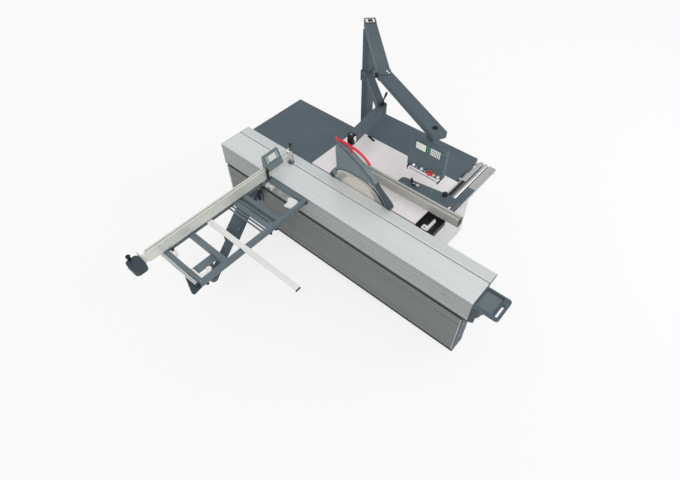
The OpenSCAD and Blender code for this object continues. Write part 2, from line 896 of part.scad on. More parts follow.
module guard_boom() {
  t = 4;
  collar = 10;
  color(slate) {
    // Collar round the column
    difference() {
      bx(col_x0 - collar, col_x1 + collar, col_y0 - collar, col_y1 + collar, garm_z0 - 10, garm_z1 + 10);
      bx(col_x0, col_x1, col_y0, col_y1, garm_z0 - 20, garm_z1 + 20);
    }
    translate([col_x, col_y, 0]) rotate([0, 0, boom_dir]) difference() {
      union() {
        tube_x(col_w / 2 + collar + 12, boom_l - knee_r + 4, -garm_w / 2, garm_w / 2, garm_z0, garm_z1, t);
        bx(col_w / 2 - 40, col_w / 2 + collar + 12, -garm_w / 2, garm_w / 2, garm_z0, garm_z1);
      }
      cz(boom_l, 0, garm_z0 - past, garm_z1 + past, knee_r);
      rotate([0, 0, -boom_dir])
        bx(-col_w / 2 - collar, col_w / 2 + collar, -col_d / 2 - collar, col_d / 2 + collar, garm_z0 - past,
          garm_z1 + past);
    }
    // Knuckle
    cz(knee[0], knee[1], garm_z0 - 8, garm_z1 + 8, knee_r);
  }
  color(black) {
    cz(knee[0], knee[1], garm_z1 + 8, garm_z1 + 26, 22);
    translate([knee[0], knee[1], garm_z1 + 20]) rotate([0, 38, 0]) cylinder(r = 7, h = 105);
  }
}

module guard_arm() {
  t = 4;
  color(slate) translate([knee[0], knee[1], 0]) rotate([0, 0, garm_dir]) difference() {
    tube_x(knee_r - 4, garm_l - clamp_r + 4, -garm_w / 2, garm_w / 2, garm_z0, garm_z1, t);
    cz(0, 0, garm_z0 - past, garm_z1 + past, knee_r);
    cz(garm_l, 0, garm_z0 - past, garm_z1 + past, clamp_r);
  }
  // Clamp that holds the guard's mast
  color(black) difference() {
    cz(mast_x, mast_y, garm_z0, garm_z1, clamp_r);
    cz(mast_x, mast_y, garm_z0 - past, garm_z1 + past, mast_r + run);
    bx(mast_x - clamp_r - past, mast_x - clamp_r + 14, mast_y - 60, mast_y + 60, garm_z0 - past,
      garm_z1 + past);
  }
}

module cabinet_door() {
  fold = 3;
  face = cab_right + door_t;
  y0 = door_y1 - door_w;
  color(pale) {
    difference() {
      bx(cab_right, face, y0, door_y1, door_z, door_z + door_h);
      bx(cab_right - past, face - fold, y0 + fold, door_y1 - fold, door_z + fold, door_z + door_h - fold);
    }
    // Hinge knuckles
    for (z = hinge_z)
      difference() {
        union() {
          cz(hinge_x, hinge_y, z, z + hinge_h, hinge_r);
          bx(hinge_x - 5, hinge_x, door_y1, hinge_y, z, z + hinge_h);
        }
        cz(hinge_x, hinge_y, z - past, z + hinge_h + past, 4 + run);
      }
  }
  color(black) {
    for (z = [door_z + 230, door_z + 314])
      bx(face, face + 22, y0 + 30, y0 + 50, z, z + 16);
    bx(face + 22, face + 32, y0 + 30, y0 + 50, door_z + 230, door_z + 330);
  }
}

module tilt_frame() {
  color(bed_grey) difference() {
    union() {
      // End plates
      for (y = [-frame_y, frame_y - fplate_t])
        difference() {
          bx(frame_x0, frame_x1, y, y + fplate_t, frame_low, frame_top + frame_bar);
          bx(frame_x0 + 25, frame_x1 - 25, y - past, y + fplate_t + past, frame_low + 40, frame_low + 150);
        }
      // Top and bottom bars that hold the lift rods
      for (z = [frame_low, frame_top])
        bx(rod_x - 28, rod_x + 28, -frame_y + fplate_t, frame_y - fplate_t, z, z + frame_bar);
      // Housing of the scoring spindle
      cx(12, frame_x1 - 10, -score_fore, score_z, 18);
      bx(frame_x0, frame_x1 - 10, -frame_y + fplate_t, -score_fore - 10, score_z - 14, frame_top);
    }
    for (y = [-rod_y, rod_y])
      cz(rod_x, y, frame_low - past, frame_top + frame_bar + past, rod_r);
    cx(12 - past, frame_x1, -score_fore, score_z, 8 + run);
  }
  // Curved runners
  color(steel)
    for (s = [-1, 1])
      along_y(s > 0 ? frame_y : -frame_y - tilt_t + 2, s > 0 ? frame_y + tilt_t - 2 : -frame_y)
        translate([0, top_z])
          ring_part(tilt_r - tilt_w / 2 + gap, tilt_r + tilt_w / 2 - gap, 0, runner_a);
  color(chrome)
    for (y = [-rod_y, rod_y])
      cz(rod_x, y, frame_low, frame_top + frame_bar, rod_r);
}

web_x0 = 82;
web_x1 = 110;
arm_in_y = pulley_r + 16;
housing_r = 31;
bearing_x0 = flange_t + 3;

module arbor_housing() {
  top = arbor_z + 30;
  low = top - 60;
  bridge_t = 16;
  foot_x0 = 6;
  color(iron) difference() {
    union() {
      cx(bearing_x0, pulley_x - 4, 0, arbor_z, housing_r);
      bx(web_x0, web_x1, -rod_y, rod_y, low, top - 4);
      for (y = [-rod_y, rod_y])
        cz(rod_x, y, top - sleeve_h, top, sleeve_r);
      // Bridges that carry the motor plate past the belt
      for (s = [-1, 1])
        bx(web_x1 - 4, mplate_x, s > 0 ? arm_in_y : -arm_in_y - bridge_t,
          s > 0 ? arm_in_y + bridge_t : -arm_in_y, low, top - 4);
      bx(mplate_x, mplate_x + mplate_t, -motor_fore - motor_r, arm_in_y + bridge_t, motor_z - 60, top - 4);
      // Foot of the riving knife
      bx(foot_x0, web_x1, rod_y, knife_y1 - 4, arbor_z - 80, arbor_z - 50);
      bx(knife_t / 2, foot_x0, blade_r + knife_gap + 2, knife_y1 - 4, arbor_z - 80, arbor_z - 50);
      bx(web_x0, web_x1, rod_y, knife_y1 - 4, arbor_z - 50, arbor_z - 30);
    }
    cx(bearing_x0 - past, pulley_x, 0, arbor_z, spindle_r + run);
    for (y = [-rod_y, rod_y])
      cz(rod_x, y, top - sleeve_h - past, top + past, rod_r + run);
    cx(mplate_x - past, mplate_x + mplate_t + past, -motor_fore, motor_z, mshaft_r + 8);
  }
}

mshaft_r = 12;
motor_x0 = mplate_x + mplate_t;

module motor() {
  fins = 24;
  fin_t = 3;
  fin_h = 7;
  cowl_l = 50;
  core_r = motor_r - fin_h;
  color(slate) difference() {
    union() {
      cx(motor_x0, motor_x0 + 14, -motor_fore, motor_z, motor_r);
      cx(motor_x0 + 14, motor_x0 + motor_l - cowl_l, -motor_fore, motor_z, core_r);
      cx(motor_x0 + motor_l - cowl_l, motor_x0 + motor_l, -motor_fore, motor_z, motor_r);
      // Cooling fins
      for (i = [0:fins - 1])
        translate([motor_x0 + 14, -motor_fore, motor_z]) rotate([360 * i / fins, 0, 0])
          translate([0, -fin_t / 2, core_r - 2]) cube([motor_l - cowl_l - 14, fin_t, fin_h + 1]);
    }
    cx(motor_x0 - past, motor_x0 + 60, -motor_fore, motor_z, mshaft_r + run);
  }
}

knife_t = 2.6;
knife_gap = 5;
knife_w = 40;
knife_y1 = blade_r + knife_gap + knife_w - 2;

module riving_knife() {
  r0 = blade_r + knife_gap;
  r1 = r0 + knife_w;
  color(steel) translate([0, 0, arbor_z]) along_x(-knife_t / 2, knife_t / 2) {
    difference() {
      intersection() {
        circle(r = r1, $fn = 96);
        rect(r0 / 2, r1 + past, -30, blade_up + 45);
      }
      circle(r = r0, $fn = 96);
    }
    rect(r0 + 2, knife_y1, -90, -30);
  }
}

module drive_belt() {
  belt_t = 6;
  color(black) along_x(pulley_x + 3, pulley_x + pulley_w - 3) difference() {
    hull() {
      translate([0, arbor_z]) circle(r = pulley_r + gap + belt_t, $fn = 64);
      translate([-motor_fore, motor_z]) circle(r = mpulley_r + gap + belt_t, $fn = 64);
    }
    hull() {
      translate([0, arbor_z]) circle(r = pulley_r + gap, $fn = 64);
      translate([-motor_fore, motor_z]) circle(r = mpulley_r + gap, $fn = 64);
    }
  }
}

// Outline of a toothed disc
function tooth_points(r, n, depth) = [
  for (i = [0:n - 1], k = [0:3])
    let (a = 360 / n * (i + [0, 0.16, 0.3, 0.86][k]), d = [r, r - 0.6, r - depth, r - depth][k])
    [d * cos(a), d * sin(a)]
];

// Toothed blade with its cutting tips, in the YZ plane
module toothed_disc(r, n, depth, plate, tip_w, bore) {
  tip_l = 4;
  tip_h = 7;
  difference() {
    along_x(-plate / 2, plate / 2) polygon(tooth_points(r - 0.4, n, depth));
    cx(-plate, plate, 0, 0, bore);
  }
  for (i = [0:n - 1])
    rotate([360 * i / n, 0, 0])
      translate([-tip_w / 2, r - tip_h, -1]) cube([tip_w, tip_h, tip_l]);
}

module saw_blade() {
  slots = 4;
  color(steel) difference() {
    translate([0, 0, arbor_z]) toothed_disc(blade_r, teeth, 13, blade_t, kerf, spindle_r);
    // Expansion slots
    for (i = [0:slots - 1])
      translate([0, 0, arbor_z]) rotate([360 * (i + 0.44) / slots, 0, 0]) {
        translate([-past - blade_t, blade_r * 0.8, -0.8]) cube([2 * past + 2 * blade_t, blade_r * 0.16, 1.6]);
        cx(-past - blade_t, past + blade_t, blade_r * 0.8, 0, 4);
      }
  }
}

module spindle() {
  color(steel) {
    // Flanges on both sides of the blade
    for (x = [[-blade_t / 2 - flange_t + 1, -blade_t / 2], [blade_t / 2, blade_t / 2 + flange_t]])
      difference() {
        cx(x[0], x[1], 0, arbor_z, flange_r);
        cx(x[0] - past, x[1] + past, 0, arbor_z, spindle_r);
      }
    cx(-blade_t / 2 - flange_t + 1, pulley_x + pulley_w, 0, arbor_z, spindle_r);
    // Nut on the blade's end of the spindle
    translate([-blade_t / 2 - flange_t - 5, 0, arbor_z]) rotate([0, 90, 0]) cylinder(r = 20, h = 6, $fn = 6);
    // Grooved pulley
    difference() {
      cx(pulley_x, pulley_x + pulley_w, 0, arbor_z, pulley_r);
      cx(pulley_x - past, pulley_x + pulley_w + past, 0, arbor_z, spindle_r);
    }
  }
}

module motor_pulley() {
  color(steel) {
    cx(pulley_x - 4, motor_x0 + 58, -motor_fore, motor_z, mshaft_r);
    difference() {
      cx(pulley_x, pulley_x + pulley_w, -motor_fore, motor_z, mpulley_r);
      cx(pulley_x - past, pulley_x + pulley_w + past, -motor_fore, motor_z, mshaft_r);
      for (i = [0:5])
        translate([0, -motor_fore, motor_z]) rotate([60 * i, 0, 0])
          cx(pulley_x - past, pulley_x + pulley_w + past, (mpulley_r + mshaft_r) / 2, 0, 9);
    }
  }
}

module scoring_blade() {
  shaft_r = 8;
  color(steel) {
    translate([0, -score_fore, score_z]) toothed_disc(score_r, 12, 9, blade_t, blade_t + 0.6, shaft_r);
    cx(-6, frame_x1 + 14, -score_fore, score_z, shaft_r);
    // Flanges and pulley
    for (x = [[-5, -blade_t / 2], [blade_t / 2, 8], [frame_x1 - 6, frame_x1 + 12]])
      difference() {
        cx(x[0], x[1], -score_fore, score_z, 18);
        cx(x[0] - past, x[1] + past, -score_fore, score_z, shaft_r);
      }
  }
}

// Roller cage between the bed's rail and the carriage's channel
module roller_cage() {
  strip_h = 4;
  count = floor((cage_l - 80) / roller_pitch);
  y0 = cage_yc - cage_l / 2;
  first = cage_yc - count * roller_pitch / 2;
  side_z0 = bed_z1 + 12;
  side_x = rail_w / 2 + track / 2;
  shelf_z = rail_z1 + 6;
  color(black)
    difference() {
      bx(beam_xc - channel_w / 2 + 4, beam_xc + channel_w / 2 - 4, y0, y0 + cage_l, shelf_z,
        shelf_z + strip_h);
      for (i = [0:count])
        bx(beam_xc - rail_w / 2 + 2, beam_xc + rail_w / 2 - 2, first + i * roller_pitch - roller_d / 2 - 1,
          first + i * roller_pitch + roller_d / 2 + 1, shelf_z - past, shelf_z + strip_h + past);
    }
  color(chrome) {
    for (i = [0:count]) {
      // Load roller on its pin
      cx(beam_xc - rail_w / 2 + 4, beam_xc + rail_w / 2 - 4, first + i * roller_pitch, rail_z1 + track / 2,
        roller_d / 2);
      translate([beam_xc - rail_w / 2 + 1, first + i * roller_pitch - 2, shelf_z])
        cube([rail_w - 2, 4, strip_h]);
    }
    // Side rollers under the strip
    for (i = [0:count - 1], s = [-1, 1])
      cz(beam_xc + s * side_x, first + (i + 0.5) * roller_pitch, side_z0, shelf_z, roller_d / 2);
  }
}

tslot_d = 11;
slot_head = 13;
slot_block = 22;

// Outline of the carriage's section in X and Z
module carriage_outline() {
  bevel = strip_t + 6;
  top = top_z;
  polygon([[car_x0, car_z0], [beam_x1, car_z0], [beam_x1, top - car_t], [-tslot_x + slot_block, top - car_t],
    [-tslot_x + slot_block, top - strip_t], [car_x1 - bevel, top - strip_t], [car_x1, top - 6], [car_x1, top],
    [car_x0, top]]);
}

// Section of the carriage with its channel, chambers and slot
module carriage_section() {
  plate_x0 = beam_x1 + 8;
  plate_x1 = -tslot_x - slot_block - 4;
  rib_h = 2;
  pitch = (car_side - 70) / side_grooves;
  difference() {
    carriage_outline();
    rect(beam_xc - channel_w / 2, beam_xc + channel_w / 2, car_z0 - past, web_z);
    rect(car_x0 + beam_t, beam_x1 - beam_t, web_z + web_t, top_z - beam_t);
    for (i = [0, 1])
      rect(plate_x0 + i * (plate_x1 - plate_x0) / 2, plate_x0 + (i + 1) * (plate_x1 - plate_x0) / 2 - 5,
        top_z - car_t + 5, top_z - 8);
    rect(-tslot_x - tslot_w / 2, -tslot_x + tslot_w / 2, top_z - tslot_d - past, top_z + past);
    rect(-tslot_x - nut_w / 2, -tslot_x + nut_w / 2, top_z - tslot_d - slot_head, top_z - tslot_d);
    // Grooves along the side face
    for (i = [0:side_grooves - 1])
      rect(car_x0 - past, car_x0 + rib_h, car_z0 + 30 + i * pitch, car_z0 + 30 + i * pitch + 7);
  }
}

module carriage() {
  holes = 14;
  hole_pitch = (car_l - 300) / (holes - 1);
  color(pale) difference() {
    along_y(car_y0, car_y1) carriage_section();
    for (i = [0:holes - 1])
      cx(car_x0 - past, car_x0 + beam_t + past, car_y0 + 150 + i * hole_pitch, top_z - 62, 5);
  }
}

// Plan of the rounded nose, in X and Y
module nose_plan(inset) {
  r = nose_r - inset;
  x0 = car_x0 + inset;
  x1 = beam_x1 - inset;
  intersection() {
    union() {
      translate([car_x0 + nose_r, car_y0]) circle(r = r);
      rect(car_x0 + nose_r, x1, car_y0 - r, car_y0);
    }
    rect(x0 - past, x1, car_y0 - nose_r - past, car_y0);
  }
}

module carriage_end_caps() {
  nose_top = top_z - 5 - tray_h;
  color(slate) difference() {
    union() {
      // Nose under the handle tray
      difference() {
        along_z(car_z0, nose_top) nose_plan(0);
        along_z(web_z + cap_t, nose_top - cap_t) nose_plan(cap_t);
      }
      along_y(car_y0 - cap_t, car_y0) difference() {
        carriage_outline();
        rect(car_x0 - past, car_x0 + tray_w + 2, car_z0 - past, top_z + past);
      }
      along_y(car_y1, car_y1 + cap_t) carriage_outline();
    }
    // Way for the guide rail
    bx(beam_xc - channel_w / 2, beam_xc + channel_w / 2, car_y0 - nose_r - past, car_y1 + cap_t + past,
      car_z0 - past, web_z);
  }
}

tray_z1 = top_z - 5;
tray_y0 = car_y0 - tray_l;

module carriage_handle() {
  lip = 38;
  slot_w = 20;
  slot_y = tray_y0 + 24;
  color(slate) difference() {
    along_z(tray_z1 - tray_h, tray_z1) difference() {
      union() {
        rrect(car_x0, car_x0 + tray_w, tray_y0, car_y0, 26);
        rect(car_x0, car_x0 + tray_w, car_y0 - 40, car_y0);
      }
      // Hand slot through the front lip
      rrect(car_x0 + 18, car_x0 + tray_w - 76, slot_y, slot_y + slot_w, slot_w / 2 - 0.01);
    }
    along_z(tray_z1 - 20, tray_z1 + past)
      rrect(car_x0 + lip / 2, car_x0 + tray_w - lip / 2, slot_y + slot_w + 12, car_y0 - 12, 12);
  }
}

module outrigger_frame() {
  x_in = car_x0 - tube_w;
  y0 = out_y0 + tube_w;
  y1 = out_y1 - tube_w;
  z0 = tube_z0;
  z1 = tube_z1;
  rod_w = 10;
  slat_w = 45;
  slot_w = 14;
  slot_x = 112 - slats_x;
  wing = 93;
  color(slate) {
    tube_y(x_in, car_x0, out_y0, out_y1, z0, z1, tube_t);
    tube_x(out_x0, x_in, out_y0, y0, z0, z1, tube_t);
    tube_x(out_x0, x_in, y1, out_y1, z0, z1, tube_t);
    tube_y(out_x0, out_x0 + tube_w, y0, y1, z0, z1, tube_t);
    tube_y(-mid_x - mid_w, -mid_x, y0, y1, z0, z1, tube_t);
    // Two rods, a slotted slat over a trough, and a wide slat
    for (x = [-slats_x, 34 - slats_x])
      bx(x, x + rod_w, y0, y1, z1 - 20, z1);
    difference() {
      bx(slot_x - 54, slot_x + 2 * slot_w, y0, y1, z1 - 12, z1);
      bx(slot_x, slot_x + slot_w, y0 + 30, y1 - 30, z1 - 12 - past, z1 + past);
    }
    bx(slot_x + 2 * slot_w, slats_w - slats_x - slat_w, y0, y1, z0 + 12, z0 + 16);
    tube_y(slats_w - slats_x - slat_w, slats_w - slats_x, y0, y1, z0 + 12, z1, tube_t);
    // Cross plate and block over the swing arm's tip
    bx(out_x0 + tube_w, -mid_x - mid_w, tip_y - 40, tip_y + 40, z0, z0 + 10);
    cz(-tip_x, tip_y, hanger_z, z0, post_r + 16);
    // Wing plate at the outer front corner
    along_z(z0, z0 + 6)
      polygon([[out_x0, out_y0], [out_x0 - wing + 10, out_y0 - 13], [out_x0 - wing, out_y0 + 14],
        [out_x0 - 16, out_y0 + 218], [out_x0, out_y0 + 220]]);
  }
  // Ears of the roller
  color(black)
    for (y = [roll_y0 - ear_t, roll_y1])
      difference() {
        union() {
          cy(roll_x, y, y + ear_t, roll_z, roll_axle_r + 6);
          bx(roll_x, out_x0, y, y + ear_t, roll_z - roll_axle_r - 6, z1);
        }
        cy(roll_x, y - past, y + ear_t + past, roll_z, roll_axle_r + run);
      }
}

clamp_y = [out_y0 + 60, out_y1 - 90];
clamp_h = 40;
lev_x = -545;
lev_y = out_y1 - tube_w / 2;
lev_z = tube_z0 - 18;

module outrigger_clamps() {
  guide_h = 8;
  color(white) {
    // Castings under the inner rail, bolted to the carriage
    for (y = clamp_y)
      difference() {
        bx(car_x0 - 78, car_x0, y - 38, y + 38, tube_z0 - clamp_h, tube_z0);
        bx(car_x0 - 78 - past, car_x0 - 14, y - 26, y + 26, tube_z0 - clamp_h - past, tube_z0 - 12);
        cz(car_x0 - 46, y, tube_z0 - 20, tube_z0 + past, 6);
      }
    // Corner casting with a lobe, and a half-round one, inside the outer rail
    translate([out_x0 + tube_w, out_y0 + tube_w, 0]) along_z(tube_z0 + 10, tube_z1 - 4) {
      polygon([[0, 0], [105, 0], [105, 30], [40, 30], [18, 60], [18, 136], [0, 136]]);
      translate([105, 38]) circle(r = 24);
    }
    along_z(tube_z1 - 16, tube_z1 - 4) intersection() {
      translate([out_x0 + tube_w, out_y1 - 117]) circle(r = 46);
      rect(out_x0 + tube_w, out_x0 + 2 * tube_w + 10, out_y0, out_y1);
    }
  }
  // Ears and pin of the clamp lever under the rear tube
  color(steel) {
    for (y = [lev_y - 15, lev_y + 9 + gap])
      bx(lev_x - 12, lev_x + 12, y, y + 6 - gap, lev_z - 12, tube_z0);
    cy(lev_x, lev_y - 15, lev_y + 15, lev_z, 6);
  }
  // Guides beside the support bar
  color(black)
    for (x = [-bar_x - 6, -bar_x + bar_w + gap])
      bx(x, x + 6 - gap, out_y0 + 4, out_y0 + tube_w - 4, tube_z1, tube_z1 + guide_h);
}

module frame_knobs() {
  front_y = out_y0 + tube_w / 2;
  color(black) {
    for (y = clamp_y) {
      star_knob(car_x0 - 46, y, tube_z0 - clamp_h - 14, tube_z0 - 16, 22);
      cz(car_x0 - 46, y, tube_z0 - 16, tube_z0, 5.9);
    }
    // Knobs under the front and the middle tube
    for (at = [[out_x0 + 65, front_y], [80 - slats_x, front_y], [146 - slats_x, front_y],
      [-mid_x - mid_w / 2, out_y0 + 115]]) {
      star_knob(at[0], at[1], tube_z0 - 38, tube_z0 - 16, 14);
      cz(at[0], at[1], tube_z0 - 16, tube_z0, 5);
    }
  }
}

module outrigger_roller() {
  color(chrome) {
    cy(roll_x, roll_y0 + 1, roll_y1 - 1, roll_z, roll_d / 2);
    cy(roll_x, roll_y0 - ear_t, roll_y1 + ear_t, roll_z, roll_axle_r);
  }
}

module support_bar() {
  y1 = fence_y - 6;
  hook_t = 6;
  color(white) difference() {
    bx(-bar_x, -bar_x + bar_w, -bar_front, y1, tube_z1, tube_z1 + bar_t);
    // Slot for the stop's screw
    along_z(tube_z1 - past, tube_z1 + bar_t + past)
      rrect(-bar_x + bar_w / 2 - 5, -bar_x + bar_w / 2 + 5, -bar_front + 60, -bar_front + 460, 4.99);
  }
  color(black) bx(-bar_x, -bar_x + bar_w, -bar_front - hook_t, -bar_front, tube_z1 - hook_h, tube_z1 + bar_t);
}

// Swing arm's outer tube, with a round eye at its pivot
module swing_arm_outer() {
  eye_r = arm_w / 2;
  chan = inner_w + 2 * arm_play;
  color(slate) translate([arm_x, arm_y, arm_z0]) rotate([0, 0, arm_dir]) difference() {
    union() {
      cylinder(r = eye_r, h = arm_h);
      translate([0, -arm_w / 2, 0]) cube([arm_outer_l, arm_w, arm_h]);
    }
    translate([0, 0, -past]) cylinder(r = arm_pin_r + run, h = arm_h + 2 * past);
    // Channel for the inner tube
    translate([arm_in - 20, -chan / 2, arm_t]) cube([arm_outer_l, chan, arm_h - 2 * arm_t]);
    // Side chambers
    for (s = [-1, 1])
      translate([arm_in - 20, s > 0 ? chan / 2 + arm_t : -arm_w / 2 + arm_t, arm_t])
        cube([arm_outer_l, arm_w / 2 - arm_t - chan / 2 - arm_t, arm_h - 2 * arm_t]);
  }
}

module swing_arm_inner() {
  t = 5;
  z0 = arm_z0 + arm_t + arm_play;
  z1 = arm_z1 - arm_t - arm_play;
  color(slate) translate([arm_x, arm_y, 0]) rotate([0, 0, arm_dir]) {
    difference() {
      union() {
        bx(arm_in, arm_len, -inner_w / 2, inner_w / 2, z0, z1);
        cz(arm_len, 0, z0, z1, inner_w / 2);
      }
      bx(arm_in - past, arm_len - inner_w, -inner_w / 2 + t, inner_w / 2 - t, z0 + t, z1 - t);
    }
    // Post under the frame's block
    cz(arm_len, 0, z1, hanger_z - 1, post_r);
  }
}

// Section of the crosscut fence in Y and Z
module fence_section() {
  mid = (fence_y + fence_y1) / 2;
  slot_w = 10;
  slot_d = 8;
  difference() {
    rect(fence_y, fence_y1, fence_z0, fence_z1);
    rect(fence_y + fence_t, fence_y1 - fence_t, ext_z0, ext_z1);
    rect(mid - slot_w / 2, mid + slot_w / 2, fence_z1 - slot_d, fence_z1 + past);
    rect(mid - slot_w, mid + slot_w, fence_z1 - slot_d - 7, fence_z1 - slot_d + 0.01);
    for (z = [fence_z0 + 22, fence_z0 + 84])
      rect(fence_y - past, fence_y + 2, z, z + 5);
  }
}

module crosscut_fence() {
  color(pale) along_x(-fence_left, -fence_right) fence_section();
}

quad_c = [fence_y + 62, fence_z0 + 56];
quad_r = 92;
knob_x = -82;
knob_y = fence_y + 29;
quad_z = quad_c[1] + quad_r * sin(115);

module fence_clamp() {
  nut_r = nut_w / 2 - 1.5;
  color(slate) bx(-tslot_x - 24, -tslot_x + 24, fence_pivot_y - 22, fence_y, fence_z0, fence_z0 + 30);
  color(steel) {
    cz(-tslot_x, fence_pivot_y, top_z - tslot_d - 1, fence_z0, 5);
    cz(-tslot_x, fence_pivot_y, top_z - tslot_d - slot_head + 1.5, top_z - tslot_d - 1, nut_r);
  }
  // Quadrant over the fence
  color(chrome) {
    translate([-tslot_x, quad_c[0], quad_c[1]]) rotate([90, 0, 90]) rotate([0, 0, 115])
      rotate_extrude(angle = 65) translate([quad_r, 0]) circle(r = 7.5);
    cz(-tslot_x, quad_c[0] - quad_r, fence_z0 + 30, quad_c[1], 7.5);
    cx(-tslot_x, knob_x - 12, knob_y + 1, quad_z, 7);
  }
  color(slate) difference() {
    bx(knob_x - 12, knob_x + 12, knob_y - 12, knob_y + 12, fence_z1, quad_z + 10);
    cz(knob_x, knob_y, fence_z1 + 10, quad_z + 10 + past, 5 + run);
  }
}

module fence_clamp_knob() {
  color(black) {
    cz(knob_x, knob_y, fence_z1 + 12, quad_z + 24, 5);
    translate([knob_x, knob_y, quad_z + 24 + ball_r * 0.8]) sphere(r = ball_r);
  }
}

module fence_extension() {
  play = 0.5;
  t = 4;
  plate_t = 5;
  color(white) {
    along_x(-fence_left - ext_out, -fence_left + ext_l) difference() {
      rect(fence_y + fence_t + play, fence_y1 - fence_t - play, ext_z0 + play, ext_z1 - play);
      rect(fence_y + fence_t + play + t, fence_y1 - fence_t - play - t, ext_z0 + play + t, ext_z1 - play - t);
    }
    along_x(cover_x1 - plate_t, cover_x1) rect(fence_y - 12, fence_y1 + 46, fence_z0, fence_z1 - 10);
  }
  color(slate) difference() {
    along_z(fence_z0, fence_z0 + 60)
      rrect(cover_x1 - plate_t - cover_l, cover_x1 - plate_t, fence_y - 62, fence_y1 + 60, 36);
    along_z(fence_z0 - past, fence_z0 + 52)
      rrect(cover_x1 - plate_t - cover_l + 5, cover_x1 - plate_t - 5, fence_y - 57, fence_y1 + 55, 31);
  }
  color(black) {
    cz(cover_x1 - 78, fence_y1 + 40, fence_z0 + 60, fence_z0 + 80, 8);
    translate([cover_x1 - 78, fence_y1 + 40, fence_z0 + 80 + ball_r * 0.8]) sphere(r = ball_r);
  }
}

module fence_clamp_lever() {
  color(black) translate([0, lev_y, 0]) {
    difference() {
      union() {
        cy(lev_x, -9, 9, lev_z, 13);
        bx(lev_x - 9, lev_x + 9, -7, 7, lev_z - 120, lev_z);
        cz(lev_x, 0, lev_z - 156, lev_z - 116, 14);
      }
      cy(lev_x, -10, 10, lev_z, 6 + run);
    }
  }
}

stop_x0 = -stop_x - stop_w;
stop_top = fence_z1 + stop_h;

module readout_stop() {
  y0 = fence_y - 34;
  section = [[y0, fence_z1 - 12], [y0 + 64, stop_top], [y0 + 86, stop_top], [y0 + 86, fence_z1 + gap],
    [fence_y - gap, fence_z1 + gap], [fence_y - gap, fence_z1 - 24], [y0 + 4, fence_z1 - 24]];
  color(slate) along_x(stop_x0, -stop_x) polygon(section);
  // Key in the fence's upper slot
  color(steel) bx(stop_x0 + 20, -stop_x - 20, (fence_y + fence_y1) / 2 - 4, (fence_y + fence_y1) / 2 + 4,
    fence_z1 - 6, fence_z1 + gap);
  // Pin and arm of the flap
  color(slate) cx(stop_x0 - 24, stop_x0, fence_y - 18, fence_z1 + 10, 6);
}

module stop_flap() {
  x = stop_x0 - 17;
  pin_y = fence_y - 18;
  pin_z = fence_z1 + 10;
  color(black) difference() {
    union() {
      cx(x, x + 14, pin_y, pin_z, 14);
      bx(x, x + 14, pin_y - 14, pin_y + 14, fence_z0 + 3, pin_z);
    }
    cx(x - past, x + 15, pin_y, pin_z, 6 + run);
  }
}

sad_x0 = carr_x0 + 20;
sad_x1 = carr_x0 + 180;
carr_tip_y = -234;
carr_w = 186;
lever_r = 16;

module rip_carrier() {
  tip_r = 42;
  front_y = -rail_front + 6;
  saddle_y0 = well_y0 + 4;
  saddle_y1 = well_y1 - 4;
  color(slate) {
    difference() {
      along_z(carr_z0, carr_z1) {
        polygon([[carr_x0, front_y], [carr_x0 + carr_w, front_y], [carr_x0 + carr_w, -gbar_y + 40],
          [carr_x0 + 2 * tip_r + 40, carr_tip_y - tip_r], [carr_x0, carr_tip_y - tip_r]]);
        rrect(carr_x0, carr_x0 + 2 * tip_r + 40, carr_tip_y - 3 * tip_r, carr_tip_y, tip_r);
        rect(carr_x0, carr_x0 + tip_r, carr_tip_y - 3 * tip_r, carr_tip_y - tip_r);
      }
      // Hollow underside
      along_z(carr_z0 - past, carr_z1 - 8)
        polygon([[carr_x0 + 10, front_y + 10], [carr_x0 + carr_w - 10, front_y + 10],
          [carr_x0 + carr_w - 10, -gbar_y + 32], [carr_x0 + 2 * tip_r + 24, carr_tip_y - tip_r - 8],
          [carr_x0 + 10, carr_tip_y - tip_r - 8]]);
      // Socket of the lever
      cz(lever_x, lever_y, carr_z0 - past, carr_z1 + past, 8 + run);
    }
    // Saddle over the round bar
    difference() {
      bx(sad_x0, sad_x1, saddle_y0, saddle_y1, bar_z + 2, carr_z1 - 8);
      cx(sad_x0 - past, sad_x1 + past, -gbar_y, bar_z, gbar_r + gap);
    }
    // Side flange that holds the fence
    bx(carr_x0 - 1, carr_x0, -620, carr_tip_y - 60, carr_z0 + 8, carr_z1 - 6);
  }
  color(black) star_knob(carr_x0 + carr_w - 26, -680, carr_z1, carr_z1 + 26, 24);
  color(chrome) cz(carr_x0 + 86, -423, carr_z1, carr_z1 + 22, 17);
}

module rip_fence() {
  wall = 4;
  z0 = top_z + 2;
  z1 = z0 + ripf_h;
  x0 = ripf_x;
  x1 = ripf_x + ripf_w;
  rib = 1.5;
  ribs = 6;
  color(steel) along_y(-ripf_front, -ripf_front + ripf_l) difference() {
    rect(x0, x1 - gap, z0, z1);
    rect(x0 + wall, x1 - wall, z0 + wall, z0 + ripf_h / 2 - 1);
    rect(x0 + wall, x1 - wall, z0 + ripf_h / 2 + 2, z1 - 18);
    // Slot in the top
    rect(x0 + ripf_w / 2 - 6, x0 + ripf_w / 2 + 6, z1 - 9, z1 + past);
    rect(x0 + ripf_w / 2 - 12, x0 + ripf_w / 2 + 12, z1 - 15, z1 - 6);
    for (i = [0:ribs - 1])
      rect(x0 - past, x0 + rib, z0 + 8 + i * 12, z0 + 14 + i * 12);
  }
}

module rip_lever() {
  color(black) {
    cz(lever_x, lever_y, carr_z0 + 12, carr_z1 + 1, 8);
    translate([lever_x, lever_y, carr_z1 + 1]) along_z(0, 16) {
      circle(r = lever_r);
      rotate([0, 0, 51]) rrect(0, 84, -9, 9, 8.9);
    }
  }
}

